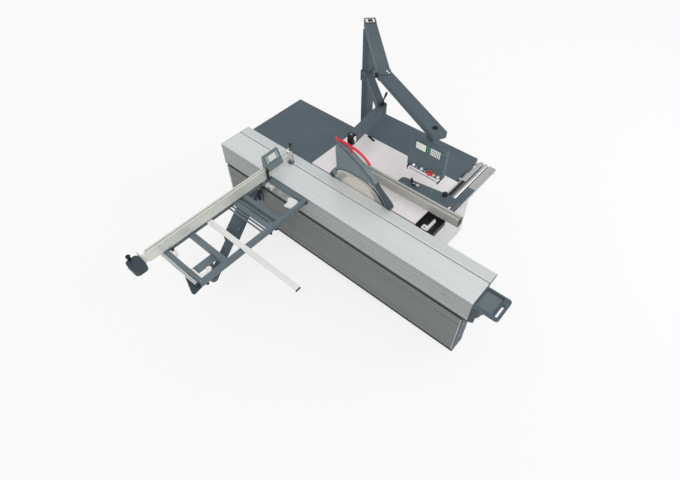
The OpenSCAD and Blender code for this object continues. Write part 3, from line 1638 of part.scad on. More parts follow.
// Edge of the hood in Y and Z, from the rear toe over the top
hood_edge = [[296, top_z + 3], [343, top_z + 31], [293, arbor_z + 193], [244, arbor_z + 225],
  [256, arbor_z + 441], [248, arbor_z + 542], [60, arbor_z + 474], [-60, arbor_z + 412],
  [-150, arbor_z + 352], [-206, arbor_z + 289], [-253, arbor_z + 238], [-305, arbor_z + 196],
  [-364, arbor_z + 152], [-396, top_z + 30], [-396, top_z + 14], [-384, top_z + 3]];
// Opening over the blade, from the front toe to the rear toe
hood_arch = [[-318, top_z + 9], [-311, top_z + 36], [-290, top_z + 86], [-245, top_z + 142],
  [-193, arbor_z + hood_r + 6], [-149, arbor_z + hood_r + 19], [22, arbor_z + hood_r + 24],
  [127, arbor_z + hood_r + 20], [228, arbor_z + hood_r - 24], [256, top_z + 60]];
skin_t = 3;

module guard_hood() {
  mast_top = garm_zc + garm_h / 2 + 10;
  lug_z = arbor_z + hood_r + 90;
  color(slate) {
    // Left side plate
    along_x(hood_x0, hood_x0 + skin_t) polygon(concat(hood_edge, hood_arch));
    // Turned edge over the top, the front and the rear
    along_x(hood_x0 + skin_t, hood_x1) difference() {
      polygon(hood_edge);
      intersection() {
        translate([skin_t, -skin_t]) polygon(hood_edge);
        translate([-skin_t, -skin_t]) polygon(hood_edge);
      }
    }
    // Right side plate above the flap
    along_x(hood_x1 - skin_t, hood_x1) intersection() {
      polygon(hood_edge);
      rect(-500, 500, flap_z + 16, arbor_z + 600);
    }
  }
  // Ears of the side flap's hinge
  color(slate)
    for (y = [flap_y0 - 12, flap_y1])
      difference() {
        bx(hood_x1, flap_x + clear_t + 3, y, y + 12, flap_z - 7, flap_z + 24);
        cy(flap_x + clear_t / 2, y - past, y + 12 + past, flap_z, 4 + run);
      }
  color(white) bx(hood_x1, mast_x + mast_r + 6, mast_y - 24, mast_y + 24, lug_z, lug_z + 46);
  color(chrome) cz(mast_x, mast_y, lug_z + 46, mast_top, mast_r);
}

module guard_window() {
  lap = 5;
  foot = [0, top_z];
  // The opening's corners, moved out by the lap
  color(clear) along_x(hood_x0 + skin_t, hood_x0 + skin_t + clear_t)
    polygon(concat([[-330, top_z + 4]], [for (p = hood_arch) p + lap * (p - foot) / norm(p - foot)],
      [[270, top_z + 4]]));
}

// Round end of a bar, pointing up
module dome(r) {
  rotate_extrude() intersection() {
    circle(r = r);
    square(r);
  }
}

// Where the handle's straight part ends, in Y and Z
grip_y = 83;
grip_z = arbor_z + 548;

module guard_handle() {
  hood_line = [hood_edge[7], hood_edge[6], hood_edge[5]];
  straight = 185;
  rise = 3;
  bend_r = 316;
  bend = 41;
  x = (hood_x0 + hood_x1) / 2;
  color(red) translate([x, grip_y, grip_z]) rotate([rise, 0, 0]) {
    rotate([-90, 0, 0]) cylinder(r = grip_r, h = straight);
    translate([0, straight, 0]) rotate([-90, 0, 0]) dome(grip_r);
    translate([0, 0, -bend_r]) rotate([90, 0, 90]) {
      rotate([0, 0, 90]) rotate_extrude(angle = bend) translate([bend_r, 0]) circle(r = grip_r);
      rotate([0, 0, 90 + bend]) translate([bend_r, 0, 0]) rotate([-90, 0, 0]) dome(grip_r);
    }
  }
  // Stand-offs between the hood and the handle
  color(black)
    for (y = [grip_y + 4, grip_y + 155])
      along_x(x - 6, x + 6)
        polygon([[y - 9, lookup(y - 9, hood_line)], [y + 9, lookup(y + 9, hood_line)], [y + 9, grip_z],
          [y - 9, grip_z]]);
}

flap_x = hood_x1 + 4;
flap_y0 = -160;
flap_y1 = 220;

module guard_flap() {
  y0 = -366;
  y1 = 300;
  color(clear) along_x(flap_x, flap_x + clear_t) polygon([[y0 + 20, top_z + 5], [y1 - 4, top_z + 5], [y1,
    flap_z - 120], [240, flap_z - 10], [-216, flap_z - 10], [-300, flap_z - 95], [y0, flap_z - 150]]);
  color(steel) {
    cy(flap_x + clear_t / 2, flap_y0 - 11, flap_y1 + 11, flap_z, 4);
    bx(flap_x, flap_x + clear_t, flap_y0 + 2, flap_y1 - 2, flap_z - 10, flap_z - 2);
  }
}

module upper_arm() {
  root_w = 54;
  end_w = 50;
  end_r = 56;
  fork_r = 74;
  z0 = parm_z + 0.5;
  z1 = z0 + parm_h;
  cap_l = 48;
  rim_h = 8;
  rim_t = 9;
  color(slate) translate([col_x, col_y, 0]) rotate([0, 0, uarm_dir]) difference() {
    union() {
      along_z(z0, z1) {
        polygon([[-cap_l, -root_w], [uarm_l, -end_w], [uarm_l, end_w], [-cap_l, root_w]]);
        translate([uarm_l, 0]) circle(r = end_r);
      }
      bx(-cap_l, cap_l, -root_w, root_w, z1, z1 + rim_h);
    }
    // Tray in the top of the root
    bx(-cap_l + rim_t, cap_l - rim_t, -root_w + rim_t, root_w - rim_t, z1 - 2, z1 + rim_h + past);
    cz(0, 0, z0 - past, z1 - 8, arm_pivot_r + 16 + run);
    // Fork at the elbow
    cz(uarm_l, 0, parm_z + lip_t, parm_z + parm_h - lip_t, fork_r);
    // Hollow body
    bx(110, uarm_l - fork_r - 16, -44, 44, z0 + 5, z1 - 5);
  }
  color(steel) cz(elbow[0], elbow[1], parm_z + lip_t, parm_z + parm_h - lip_t, arm_pivot_r);
}

module forearm() {
  root_r = 58;
  over = 75;
  w = farm_w / 2;
  color(slate) {
    translate([elbow[0], elbow[1], 0]) rotate([0, 0, farm_dir]) difference() {
      along_z(farm_z0, farm_z1) {
        circle(r = root_r);
        polygon([[0, -w], [farm_l + over, -w], [farm_l + over, w], [0, w]]);
      }
      cz(0, 0, farm_z0 - past, farm_z1 + past, arm_pivot_r + run);
      bx(100, farm_l - 90, -w + 5, w - 5, farm_z0 + 5, farm_z1 - 5);
    }
    // Pin that carries the panel
    cz(head[0], head[1], pan_z1 - 60, farm_z0, 20);
  }
}

module panel_key(y, z, w, h, t) {
  bx(pan_x0 - t, pan_x0, y, y + w, z, z + h);
}

module control_panel() {
  stem_r = 34;
  screen_w = 120;
  key = 20;
  rail_r = 7;
  rail_z = pan_z0 - 14;
  rail_x = pan_x0 - 14;
  button_y = [30, 66, 138, 174, 210, 246];
  button_col = [white, black, black, iron, [0.9, 0.6, 0.1], white];
  color(slate) difference() {
    union() {
      translate([pan_x0, 0, 0]) rotate([90, 0, 90]) linear_extrude(pan_t)
        rrect(pan_y0, pan_y1, pan_z0, pan_z1, 12);
      bx(pan_x1, head[0], head[1] - stem_r, head[1] + stem_r, pan_z1 - 60, pan_z1);
      cz(head[0], head[1], pan_z1 - 60, pan_z1, stem_r);
    }
    cz(head[0], head[1], pan_z1 - 60 - past, pan_z1 + past, 20 + run);
    // Recess of the screen
    bx(pan_x0 - past, pan_x0 + 4, pan_y1 - 30 - screen_w, pan_y1 - 30, pan_z1 - 112, pan_z1 - 34);
    cx(pan_x0 - past, pan_x0 + 24, stop_y, stop_z, 9 + run);
  }
  color([0.35, 0.45, 0.40]) bx(pan_x0 + 2, pan_x0 + 4, pan_y1 - 30 - screen_w, pan_y1 - 30, pan_z1 - 112,
    pan_z1 - 34);
  color(steel)
    for (i = [0:4], j = [0:1])
      panel_key(pan_y0 + 30 + i * 24 + (i > 1 ? 4 : 0), pan_z1 - 64 - j * 30, key, key, 2.5);
  color([0.2, 0.6, 0.35])
    for (i = [0:5])
      panel_key(pan_y0 + 30 + i * 42, pan_z1 - 160, 30, 18, 2.5);
  for (i = [0:5])
    color(button_col[i]) cx(pan_x0 - 8, pan_x0, pan_y0 + button_y[i], stop_z, 11);
  // Hand rail under the panel
  color(chrome) cy(rail_x, pan_y0 + 20, pan_y1 - 20, rail_z, rail_r);
  color(black)
    for (y = [pan_y0 + 14, pan_y1 - 26])
      bx(rail_x - 9, pan_x0 + 14, y, y + 12, rail_z - 10, pan_z0 + 14);
}

module stop_button() {
  color(red) {
    cx(pan_x0 - 8 - stop_travel - 10, pan_x0 - stop_travel - 1, stop_y, stop_z, stop_r + 4);
    cx(pan_x0 - stop_travel - 1, pan_x0 + 16, stop_y, stop_z, 9);
  }
}

cabinet();
levelling_feet();
cast_table();
table_insert();
stow_tray();
push_stick();
rear_extension_table();
rip_extension_table();
table_struts();
rip_rail();
rip_guide_bar();
rip_rail_covers();
bed_beam();
bed_end_caps();
bed_guide_rail();
tilt_brackets();
swing_pivot_bracket();
column();
dust_outlet();
guard_boom();
guard_arm();
cabinet_door();
tilt_frame();
arbor_housing();
motor();
riving_knife();
drive_belt();
saw_blade();
spindle();
motor_pulley();
scoring_blade();
roller_cage();
carriage();
carriage_end_caps();
carriage_handle();
outrigger_frame();
outrigger_clamps();
frame_knobs();
outrigger_roller();
support_bar();
swing_arm_outer();
swing_arm_inner();
crosscut_fence();
fence_clamp();
fence_extension();
fence_clamp_knob();
fence_clamp_lever();
readout_stop();
stop_flap();
rip_carrier();
rip_fence();
rip_lever();
guard_hood();
guard_window();
guard_handle();
guard_flap();
upper_arm();
forearm();
control_panel();
stop_button();
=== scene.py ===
import math

import bmesh
import bpy
from mathutils import Matrix, Quaternion, Vector


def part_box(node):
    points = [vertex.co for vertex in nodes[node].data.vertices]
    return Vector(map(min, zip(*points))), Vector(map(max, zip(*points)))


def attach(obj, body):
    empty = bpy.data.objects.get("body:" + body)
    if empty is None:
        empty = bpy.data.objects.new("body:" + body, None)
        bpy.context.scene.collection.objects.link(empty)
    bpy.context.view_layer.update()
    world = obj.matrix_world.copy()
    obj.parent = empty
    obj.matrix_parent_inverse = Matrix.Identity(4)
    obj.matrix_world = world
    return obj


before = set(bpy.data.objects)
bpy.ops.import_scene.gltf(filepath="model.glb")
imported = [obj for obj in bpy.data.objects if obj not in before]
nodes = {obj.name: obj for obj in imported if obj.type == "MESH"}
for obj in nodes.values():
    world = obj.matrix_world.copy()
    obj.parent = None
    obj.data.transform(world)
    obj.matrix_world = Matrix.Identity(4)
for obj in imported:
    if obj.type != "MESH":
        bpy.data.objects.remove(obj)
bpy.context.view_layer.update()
scene = bpy.context.scene
scene.view_settings.view_transform = "Standard"
MM = 0.001
X, Y, Z = Vector((1, 0, 0)), Vector((0, 1, 0)), Vector((0, 0, 1))

# Places of the part that no node's box gives, in millimetres
TOP = 900
column_x, column_y = 967, 679
elbow = Vector((369.8, 51.9, 0))
elbow_top = 1950.5
forearm_end = Vector((16.36, -682.5, 1941.5))
upper_arm_turn = math.radians(226.4)
knuckle = Vector((575, 200, 1458))
knuckle_lever_lean = math.radians(38)
mast_x, mast_y = 54, 134
panel_face = -103.64
panel_low = 1616.0
panel_y = (-869.51, -559.51)
stop_y = -767.5
button_z = 1644
frame_x = -1643
frame_y = (285, 835)
frame_top = 885
swing_pivot = Vector((-492, 1000, 0))
swing_top = 645
swing_turn = math.radians(-150.236)
readout_x = (-435, -243)
readout_foot, readout_ridge = Vector((0, 737, 1000.5)), Vector((0, 801, 1136.5))

# Where one node's material changes to the next, in millimetres
blade_half = 1.6
carriage_side_x = -250
rail_cover_y = -728
support_hook_y = -343.1
boom_knuckle_x = (540, 660)
stop_rod_y, stop_rod_z = 780, 1012
frame_tube_low = 834


# Materials
def srgb(r, g, b):
    """A colour in display values of 0 to 255, as the shader's linear values."""

    def linear(c):
        c /= 255
        return c / 12.92 if c <= 0.04045 else ((c + 0.055) / 1.055) ** 2.4

    return (linear(r), linear(g), linear(b), 1.0)


class Shade:
    """A node-based material that is put together a few nodes at a time."""

    def __init__(self, start, **sockets):
        """Starts a material with a new name, or goes on with one that exists."""
        self.material = bpy.data.materials.new(start) if isinstance(start, str) else start
        self.material.use_nodes = True
        self.tree = self.material.node_tree
        self.shader = self.tree.nodes["Principled BSDF"]
        for key, value in sockets.items():
            self.shader.inputs[key.replace("_", " ")].default_value = value
        self.place = self.node("ShaderNodeTexCoord").outputs["Object"]

    def axes(self):
        """The surface's place as X, Y and Z."""
        parts = self.node("ShaderNodeSeparateXYZ")
        self.link(self.place, parts.inputs[0])
        return parts.outputs

    def node(self, kind, **values):
        """A new node with some of its properties set."""
        made = self.tree.nodes.new(kind)
        for key, value in values.items():
            setattr(made, key, value)
        return made

    def link(self, a, b):
        self.tree.links.new(a, b)

    def stretched(self, scale, offset=(0, 0, 0)):
        """The surface's place, scaled along each axis."""
        made = self.node("ShaderNodeMapping")
        made.inputs["Scale"].default_value = scale
        made.inputs["Location"].default_value = offset
        self.link(self.place, made.inputs["Vector"])
        return made.outputs["Vector"]

    def noise(self, scale, detail=3.0, roughness=0.5, where=None):
        made = self.node("ShaderNodeTexNoise")
        made.inputs["Scale"].default_value = scale
        made.inputs["Detail"].default_value = detail
        made.inputs["Roughness"].default_value = roughness
        self.link(where or self.place, made.inputs["Vector"])
        return made.outputs["Fac"]

    def spread(self, value, low, high, from_low=0.3, from_high=0.7):
        """A value mapped from one range onto another."""
        made = self.node("ShaderNodeMapRange")
        limits = (("From Min", from_low), ("From Max", from_high), ("To Min", low), ("To Max", high))
        for key, limit in limits:
            made.inputs[key].default_value = limit
        self.link(value, made.inputs["Value"])
        return made.outputs["Result"]

    def blend(self, value, low, high):
        """A colour between two, chosen by a value."""
        made = self.node("ShaderNodeMix", data_type="RGBA")
        made.inputs[6].default_value = low
        made.inputs[7].default_value = high
        self.link(value, made.inputs[0])
        return made.outputs[2]

    def layer(self, value, under, colour):
        """A colour laid over another one where the value is high."""
        mixed = self.blend(value, colour, colour)
        self.link(under, mixed.node.inputs[6])
        return mixed

    def maths(self, kind, a, b=None):
        made = self.node("ShaderNodeMath", operation=kind)
        for socket, value in zip(made.inputs, (a, b)):
            if isinstance(value, (int, float)):
                socket.default_value = value
            elif value is not None:
                self.link(value, socket)
        return made.outputs[0]

    def colour(self, value):
        self.link(value, self.shader.inputs["Base Color"])

    def rough(self, value):
        self.link(value, self.shader.inputs["Roughness"])

    def bump(self, value, depth, strength=0.5):
        """A relief laid over the ones before it."""
        made = self.node("ShaderNodeBump")
        made.inputs["Strength"].default_value = strength
        made.inputs["Distance"].default_value = depth
        self.link(value, made.inputs["Height"])
        previous = self.shader.inputs["Normal"].links
        if previous:
            self.link(previous[0].from_socket, made.inputs["Normal"])
        self.link(made.outputs["Normal"], self.shader.inputs["Normal"])


def tint(colour, factor):
    """A colour made lighter or darker."""
    return tuple(min(1.0, c * factor) for c in colour[:3]) + (1.0,)


def painted(name, colour, roughness=0.42, dust=0.07):
    """Powder coat: fine orange peel, cloudy colour, faint rubbed places and a little dust."""
    s = Shade(name, Specular_IOR_Level=0.3)
    cloud = s.spread(s.noise(2.2, 4.0), 0.0, 1.0)
    base = s.blend(cloud, tint(colour, 0.93), tint(colour, 1.06))
    rubbed = s.spread(s.noise(9.0, 8.0, 0.7, s.stretched((1, 0.35, 1))), 0.0, dust, 0.52, 0.75)
    s.colour(s.layer(rubbed, base, srgb(205, 208, 206)))
    s.rough(s.spread(s.noise(30, 5.0), roughness - 0.06, roughness + 0.1))
    s.bump(s.noise(650, 2.0), 0.00025, 0.35)
    s.bump(s.noise(14, 2.0), 0.0006, 0.12)
    return s.material


def extruded(name, colour, along, roughness=0.38, metallic=0.35, streak=0.05):
    """Anodised profile with die lines along its length."""
    s = Shade(name, Metallic=metallic, Specular_IOR_Level=0.5)
    fine = tuple(1.5 if i == along else 520.0 for i in range(3))
    broad = tuple(0.5 if i == along else 26.0 for i in range(3))
    lines = s.noise(1.0, 3.0, 0.6, s.stretched(fine))
    bands = s.noise(1.0, 2.0, 0.5, s.stretched(broad, (3, 1, 7)))
    base = s.blend(s.spread(bands, 0.0, 1.0), tint(colour, 1 - streak), tint(colour, 1 + streak))
    handled = s.spread(s.noise(5.0, 6.0, 0.65), 0.0, 0.16, 0.5, 0.8)
    s.colour(s.layer(handled, base, tint(colour, 0.8)))
    s.rough(s.spread(lines, roughness - 0.1, roughness + 0.1))
    s.bump(lines, 0.00012, 0.3)
    return s.material


def ribbed(name, colour, low, high, pitch):
    """Profile along Y, finely ribbed between two places along X, in millimetres, with painted shade darkening
    the grooves between the ribs.
    """
    made = extruded(name, colour, 1, 0.34, 0.22, 0.03)
    s = Shade(made)
    x = s.axes()[0]
    wave = s.maths("SINE", s.maths("MULTIPLY", x, 2 * math.pi / (pitch * MM)))
    inside = s.maths("MULTIPLY", s.maths("GREATER_THAN", x, low * MM), s.maths("LESS_THAN", x, high * MM))
    ribs = s.maths("MULTIPLY", s.maths("GREATER_THAN", wave, -0.2), inside)
    s.bump(ribs, 0.0006, 0.7)
    below = s.shader.inputs["Base Color"].links[0].from_socket
    # Painted shade: the grooves between the ribs are darkened towards a darker tint of the colour.
    groove_shade = s.maths("SUBTRACT", inside, ribs)
    s.colour(s.layer(s.maths("MULTIPLY", groove_shade, 0.35), below, tint(colour, 0.55)))
    return s.material


def ground(name, colour, roughness=0.4):
    """Cast iron, ground flat: crossing grinding marks and faint stains."""
    s = Shade(name, Metallic=0.15, Specular_IOR_Level=0.5)
    marks = s.noise(1.0, 4.0, 0.6, s.stretched((14, 480, 480)))
    sweep = s.noise(1.0, 3.0, 0.6, s.stretched((2.2, 9, 9)))
    stain = s.spread(s.noise(4.5, 8.0, 0.72), 0.0, 0.45, 0.5, 0.85)
    base = s.blend(s.spread(sweep, 0.0, 1.0), tint(colour, 0.95), tint(colour, 1.04))
    s.colour(s.layer(stain, base, tint(colour, 0.86)))
    s.rough(s.spread(marks, roughness - 0.12, roughness + 0.12))
    s.bump(marks, 0.00012, 0.35)
    return s.material


def cast(name, colour, roughness=0.6):
    """Sand-cast surface."""
    s = Shade(name, Specular_IOR_Level=0.35)
    s.colour(s.blend(s.spread(s.noise(7, 6.0, 0.6), 0.0, 1.0), tint(colour, 0.85), tint(colour, 1.08)))
    s.rough(s.spread(s.noise(60, 4.0), roughness - 0.1, roughness + 0.12))
    s.bump(s.noise(260, 5.0, 0.65), 0.0006, 0.6)
    return s.material


def bright(name, colour, roughness=0.12):
    """Chrome: nearly clean, with faint wipes."""
    s = Shade(name, Metallic=1.0)
    s.colour(s.blend(s.spread(s.noise(12, 4.0), 0.0, 1.0), tint(colour, 0.94), tint(colour, 1.03)))
    s.rough(s.spread(s.noise(1.0, 5.0, 0.6, s.stretched((90, 25, 90))), roughness - 0.05, roughness + 0.1))
    s.bump(s.noise(40, 2.0), 0.0001, 0.08)
    return s.material


def brushed(name, colour, centre=None, roughness=0.3, metallic=0.9):
    """Steel turned or ground round an axis along X, or brushed straight."""
    s = Shade(name, Metallic=metallic)
    if centre:
        across = s.axes()[1:]
        dy, dz = (s.maths("SUBTRACT", value, middle) for value, middle in zip(across, centre))
        radius = s.maths("SQRT", s.maths("ADD", s.maths("MULTIPLY", dy, dy), s.maths("MULTIPLY", dz, dz)))
        joined = s.node("ShaderNodeCombineXYZ")
        s.link(radius, joined.inputs[0])
        rings = s.noise(700, 3.0, 0.6, joined.outputs[0])
    else:
        rings = s.noise(1.0, 3.0, 0.6, s.stretched((3, 420, 420)))
    s.colour(s.blend(s.spread(rings, 0.0, 1.0), tint(colour, 0.92), tint(colour, 1.05)))
    s.rough(s.spread(rings, roughness - 0.08, roughness + 0.12))
    s.bump(rings, 0.00008, 0.3)
    return s.material


def moulded(name, colour, roughness=0.5, grain=900, depth=0.0003):
    """Moulded plastic with a fine grain."""
    s = Shade(name, Specular_IOR_Level=0.42)
    s.colour(s.blend(s.spread(s.noise(6, 4.0), 0.0, 1.0), tint(colour, 0.9), tint(colour, 1.08)))
    s.rough(s.spread(s.noise(45, 4.0), roughness - 0.07, roughness + 0.08))
    s.bump(s.noise(grain, 2.0), depth, 0.4)
    return s.material


def clear_sheet(name, colour, alpha):
    """Clear polycarbonate with hairline scratches."""
    s = Shade(name, Specular_IOR_Level=0.6)
    s.colour(s.blend(s.spread(s.noise(5, 4.0), 0.0, 1.0), tint(colour, 0.96), tint(colour, 1.03)))
    s.rough(s.spread(s.noise(1.0, 4.0, 0.6, s.stretched((30, 300, 12))), 0.05, 0.22))
    s.shader.inputs["Alpha"].default_value = alpha
    return s.material


def rubber(name, colour):
    """Dull black rubber."""
    s = Shade(name, Specular_IOR_Level=0.3)
    s.colour(s.blend(s.spread(s.noise(20, 5.0), 0.0, 1.0), tint(colour, 0.8), tint(colour, 1.3)))
    s.rough(s.spread(s.noise(80, 3.0), 0.62, 0.82))
    s.bump(s.noise(500, 3.0), 0.0004, 0.5)
    return s.material


SLATE = srgb(84, 97, 106)
M = {
    "slate": painted("slate_powder_coat", SLATE, 0.54, 0.04),
    "slate_light": painted("slate_frame_paint", srgb(104, 118, 124), 0.48, 0.06),
    "slate_dark": painted("dark_slate_paint", srgb(64, 74, 82), 0.45, 0.05),
    "guard": painted("guard_grey_paint", srgb(118, 132, 136), 0.42, 0.04),
    "pale": painted("pale_cabinet_paint", srgb(216, 213, 212), 0.45, 0.05),
    "bed": extruded("bed_profile", srgb(116, 121, 119), 1, 0.46, 0.15, 0.06),
    "table": ground("ground_table", srgb(238, 233, 234)),
    "cast": cast("cast_iron_grey", srgb(150, 150, 148)),
    "carriage": ribbed("carriage_profile", srgb(224, 228, 228), -104, -16, 5.5),
    # Painted shade: a darker copy of the carriage profile's colour, for the carriage's left side faces that
    # stand away from the light.
    "carriage_shaded_side": extruded("carriage_shaded_side_profile", srgb(158, 163, 163), 1, 0.4, 0.2, 0.1),
    "stop_grey": painted("readout_housing_paint", srgb(110, 128, 130), 0.42, 0.03),
    # Painted light: a lighter copy of the slate paint, for the tray's upward-facing floor where light falls.
    "recess": painted("tray_floor_lit_slate", srgb(110, 120, 125), 0.55, 0.04),
    "arch": painted("guard_rim_paint", srgb(70, 78, 84), 0.5, 0.03),
    "fence": extruded("fence_profile", srgb(226, 227, 220), 0, 0.36, 0.25),
    "ripfence": extruded("rip_fence_profile", srgb(186, 186, 182), 1, 0.36, 0.3),
    "rail": extruded("rail_profile", srgb(190, 191, 192), 0, 0.36, 0.4),
    "blade": brushed("blade_steel", srgb(228, 224, 218), (0.0, 0.82), 0.46, 0.12),
    "scorer": brushed("scoring_steel", srgb(190, 190, 186), (-0.283, 0.852), 0.3),
    "steel": brushed("machined_steel", srgb(176, 178, 180)),
    "chrome": bright("chrome_plate", srgb(222, 223, 226)),
    "zinc": bright("zinc_plate", srgb(196, 198, 196), 0.28),
    "black": moulded("black_moulding", srgb(30, 31, 34)),
    "black_satin": moulded("black_satin_parts", srgb(22, 23, 25), 0.38, 500, 0.0002),
    "white": moulded("white_moulding", srgb(236, 236, 232), 0.4, 700, 0.0002),
    "whitepaint": painted("white_casting_paint", srgb(232, 233, 230), 0.42, 0.03),
    "red": moulded("red_grip", srgb(222, 50, 62), 0.34, 500, 0.0002),
    "clear": clear_sheet("clear_guard_sheet", srgb(236, 230, 218), 0.14),
    "belt": rubber("belt_rubber", srgb(26, 26, 27)),
    "green": moulded("green_keys", srgb(52, 150, 100), 0.4, 600, 0.0001),
    "amber": moulded("amber_button", srgb(222, 150, 40), 0.35, 600, 0.0001),
    "lcd": moulded("display_window", srgb(222, 226, 216), 0.16, 300, 0.00002),
    "lcd_green": moulded("readout_window", srgb(176, 192, 182), 0.14, 300, 0.00002),
    "carbide": brushed("carbide_tips", srgb(120, 122, 124), None, 0.35),
}


# Carried-over nodes
def soft_edges(o, width, angle):
    """Rounds the edges that turn by more than an angle, in degrees."""
    edge = o.modifiers.new("edge", "BEVEL")
    edge.width = width * MM
    edge.segments = 2
    edge.limit_method = "ANGLE"
    edge.angle_limit = math.radians(angle)
    edge.harden_normals = True


def dress(name, looks, bevel=1.0, choose=None):
    """Gives a CAD node its materials and soft edges.

    choose picks a material by a face's centre, in millimetres, and its normal.
    """
    o = nodes[name]
    mesh = o.data
    looks = [looks] if isinstance(looks, str) else looks
    mesh.materials.clear()
    for look in looks:
        mesh.materials.append(M[look])
    if "custom_normal" in mesh.attributes:
        mesh.attributes.remove(mesh.attributes["custom_normal"])
    for p in mesh.polygons:
        p.use_smooth = True
        p.material_index = int(choose(Vector(p.center) / MM, p.normal)) if choose else 0
    weld = o.modifiers.new("weld", "WELD")
    weld.merge_threshold = 0.01 * MM
    flat = o.modifiers.new("flat", "DECIMATE")
    flat.decimate_type = "DISSOLVE"
    flat.angle_limit = math.radians(0.4)
    flat.delimit = {"MATERIAL"}
    soft_edges(o, bevel, 32)


PLAIN = {
    "cabinet": ("pale", 1.5), "levelling_feet": ("black", 2), "cast_table": ("table", 1.2),
    "table_insert": ("steel", 0.6), "stow_tray": ("black", 1), "push_stick": ("white", 2.5),
    "rear_extension_table": ("slate", 1.5), "rip_extension_table": ("slate", 1.5),
    "table_struts": ("slate", 1),
    "rip_rail": ("rail", 0.5), "rip_guide_bar": ("chrome", 1.5), "bed_beam": ("bed", 0.8),
    "bed_end_caps": ("slate", 2), "bed_guide_rail": ("steel", 0.6), "tilt_brackets": ("cast", 1),
    "swing_pivot_bracket": ("slate", 1), "column": ("slate", 2), "dust_outlet": ("black", 1),
    "cabinet_door": ("pale", 1), "tilt_frame": ("cast", 1),
    "arbor_housing": ("cast", 1.5), "motor": ("slate", 0.8), "riving_knife": ("steel", 0.4),
    "drive_belt": ("belt", 0.6), "spindle": ("steel", 0.8), "motor_pulley": ("steel", 0.8),
    "scoring_blade": ("scorer", 0.2), "roller_cage": ("chrome", 0.4),
    "carriage_end_caps": ("slate_dark", 1.2), "carriage_handle": ("slate", 3), "frame_knobs": ("black", 1.5),
    "outrigger_roller": ("chrome", 1), "swing_arm_outer": ("slate", 2), "swing_arm_inner": ("slate", 1.5),
    "crosscut_fence": ("fence", 0.6), "fence_clamp_knob": ("black_satin", 0.4),
    "fence_clamp_lever": ("black", 2), "stop_flap": ("black", 1), "rip_fence": ("ripfence", 0.4),
    "rip_lever": ("black_satin", 2), "guard_window": ("clear", 0.4),
    "guard_flap": ("clear", 0.3), "forearm": ("slate", 2.5), "stop_button": ("red", 1.2),
    "guard_handle": ("red", 3), "upper_arm": ("slate", 2.5),
}
for node_name, (look, width) in PLAIN.items():
    dress(node_name, look, width)


def between(value, low, high):
    return low < value < high


def on_mast_clamp(c):
    """The guard arm's clamp round the mast."""
    reach, low, high = 40, 1358, 1452
    return math.hypot(c.x - mast_x, c.y - mast_y) < reach and between(c.z, low, high)


def on_guard_feet(c, n):
    """Edge faces of the guard's front leg and rear toe."""
    leg_y, leg_z, toe_y, toe_z = -200, 1125, 262, 1000
    leg = c.y < leg_y and c.z < leg_z
    toe = c.y > toe_y and c.z < toe_z
    return abs(n.x) < 0.5 and (leg or toe)


def clamp_part(c):
    """Cap, bolt or block of the outrigger's clamps."""
    cap_z, bolt_x = 884.5, (-560, -530)
    if c.z > cap_z:
        return 2
    return 1 if between(c.x, *bolt_x) else 0


def on_clamp_block(c):
    """The crosscut clamp's dark foot and block, beside its bright quadrant."""
    foot_y, foot_z, block_x, block_z = 772, 931, -95, 1012
    return (c.y < foot_y and c.z < foot_z) or (c.x > block_x and c.z > block_z)


def extension_part(c):
    """Profile, end housing or knob of the fence's extension."""
    housing_x, knob_z = -1825.2, 960.6
    if c.z > knob_z and c.x < housing_x - 0.8:
        return 2
    return 1 if c.x < housing_x else 0


def carrier_part(c):
    """Casting, black knob or bright knob of the rip fence's carrier."""
    top, knob_y = 948.2, -600
    if c.z <= top:
        return 0
    return 1 if c.y < knob_y else 2


panel_looks = ["slate", "lcd", "chrome", "black", "green", "white", "slate_dark", "amber"]
button_looks = {0: 5, 1: 7, 3: 3, 4: 5, 5: 3, 6: 5}
first_button, button_pitch = 30, 36


def panel_part(c, n):
    """Screen, keys, buttons and hand rail, by where the face lies."""
    low, high = panel_y
    rail_reach, rail_ends = 15, 26
    recess, front = 3.9, 0.1
    if c.z < panel_low - 0.5 and c.x < panel_face + rail_reach:
        return 2 if between(c.y, low + rail_ends, high - rail_ends) else 3
    if c.x > panel_face + recess:
        return 0
    if c.x > panel_face + front:
        return 1 if c.z > panel_low + 140 else 0
    if c.x > panel_face - front and abs(n.x) > 0.9:
        return 0
    if c.z > panel_low + 150:
        return 4 if c.y > low + 125 else 5
    if c.z > panel_low + 90:
        return 6
    button = round((c.y - low - first_button) / button_pitch)
    return button_looks.get(button, 3)


dress("saw_blade", ["blade", "carbide"], 0.15, lambda c, n: abs(c.x) > blade_half)
# The carriage's faces that turn to the left get the darker copy of its profile colour: painted shade on that
# side.
dress("carriage", ["carriage", "carriage_shaded_side"], 0.7, lambda c, n: n.x < -0.3 and c.x < carriage_side_x)
dress("guard_arm", ["slate", "black_satin"], 1.5, lambda c, n: on_mast_clamp(c))
dress("guard_hood", ["guard", "slate_dark"], 1, on_guard_feet)
dress("rip_rail_covers", ["slate", "black"], 0.4, lambda c, n: c.y > rail_cover_y)
dress("guard_boom", ["slate", "black_satin"], 1.5,
      lambda c, n: c.z > knuckle.z + 0.5 and between(c.x, *boom_knuckle_x))
dress("outrigger_frame", ["slate_light", "slate_dark"], 1.2,
      lambda c, n: c.x < frame_x - 0.5 or c.z < frame_tube_low)
dress("outrigger_clamps", ["whitepaint", "zinc", "black"], 1.5, lambda c, n: clamp_part(c))
dress("support_bar", ["whitepaint", "black"], 0.8, lambda c, n: c.y < support_hook_y)
dress("fence_clamp", ["slate", "chrome"], 1, lambda c, n: not on_clamp_block(c))
dress("fence_extension", ["fence", "slate_dark", "black_satin"], 1.2, lambda c, n: extension_part(c))
dress("readout_stop", ["stop_grey", "steel"], 3, lambda c, n: c.z < stop_rod_z and c.y > stop_rod_y)
dress("rip_carrier", ["slate", "black", "chrome"], 2.2, lambda c, n: carrier_part(c))
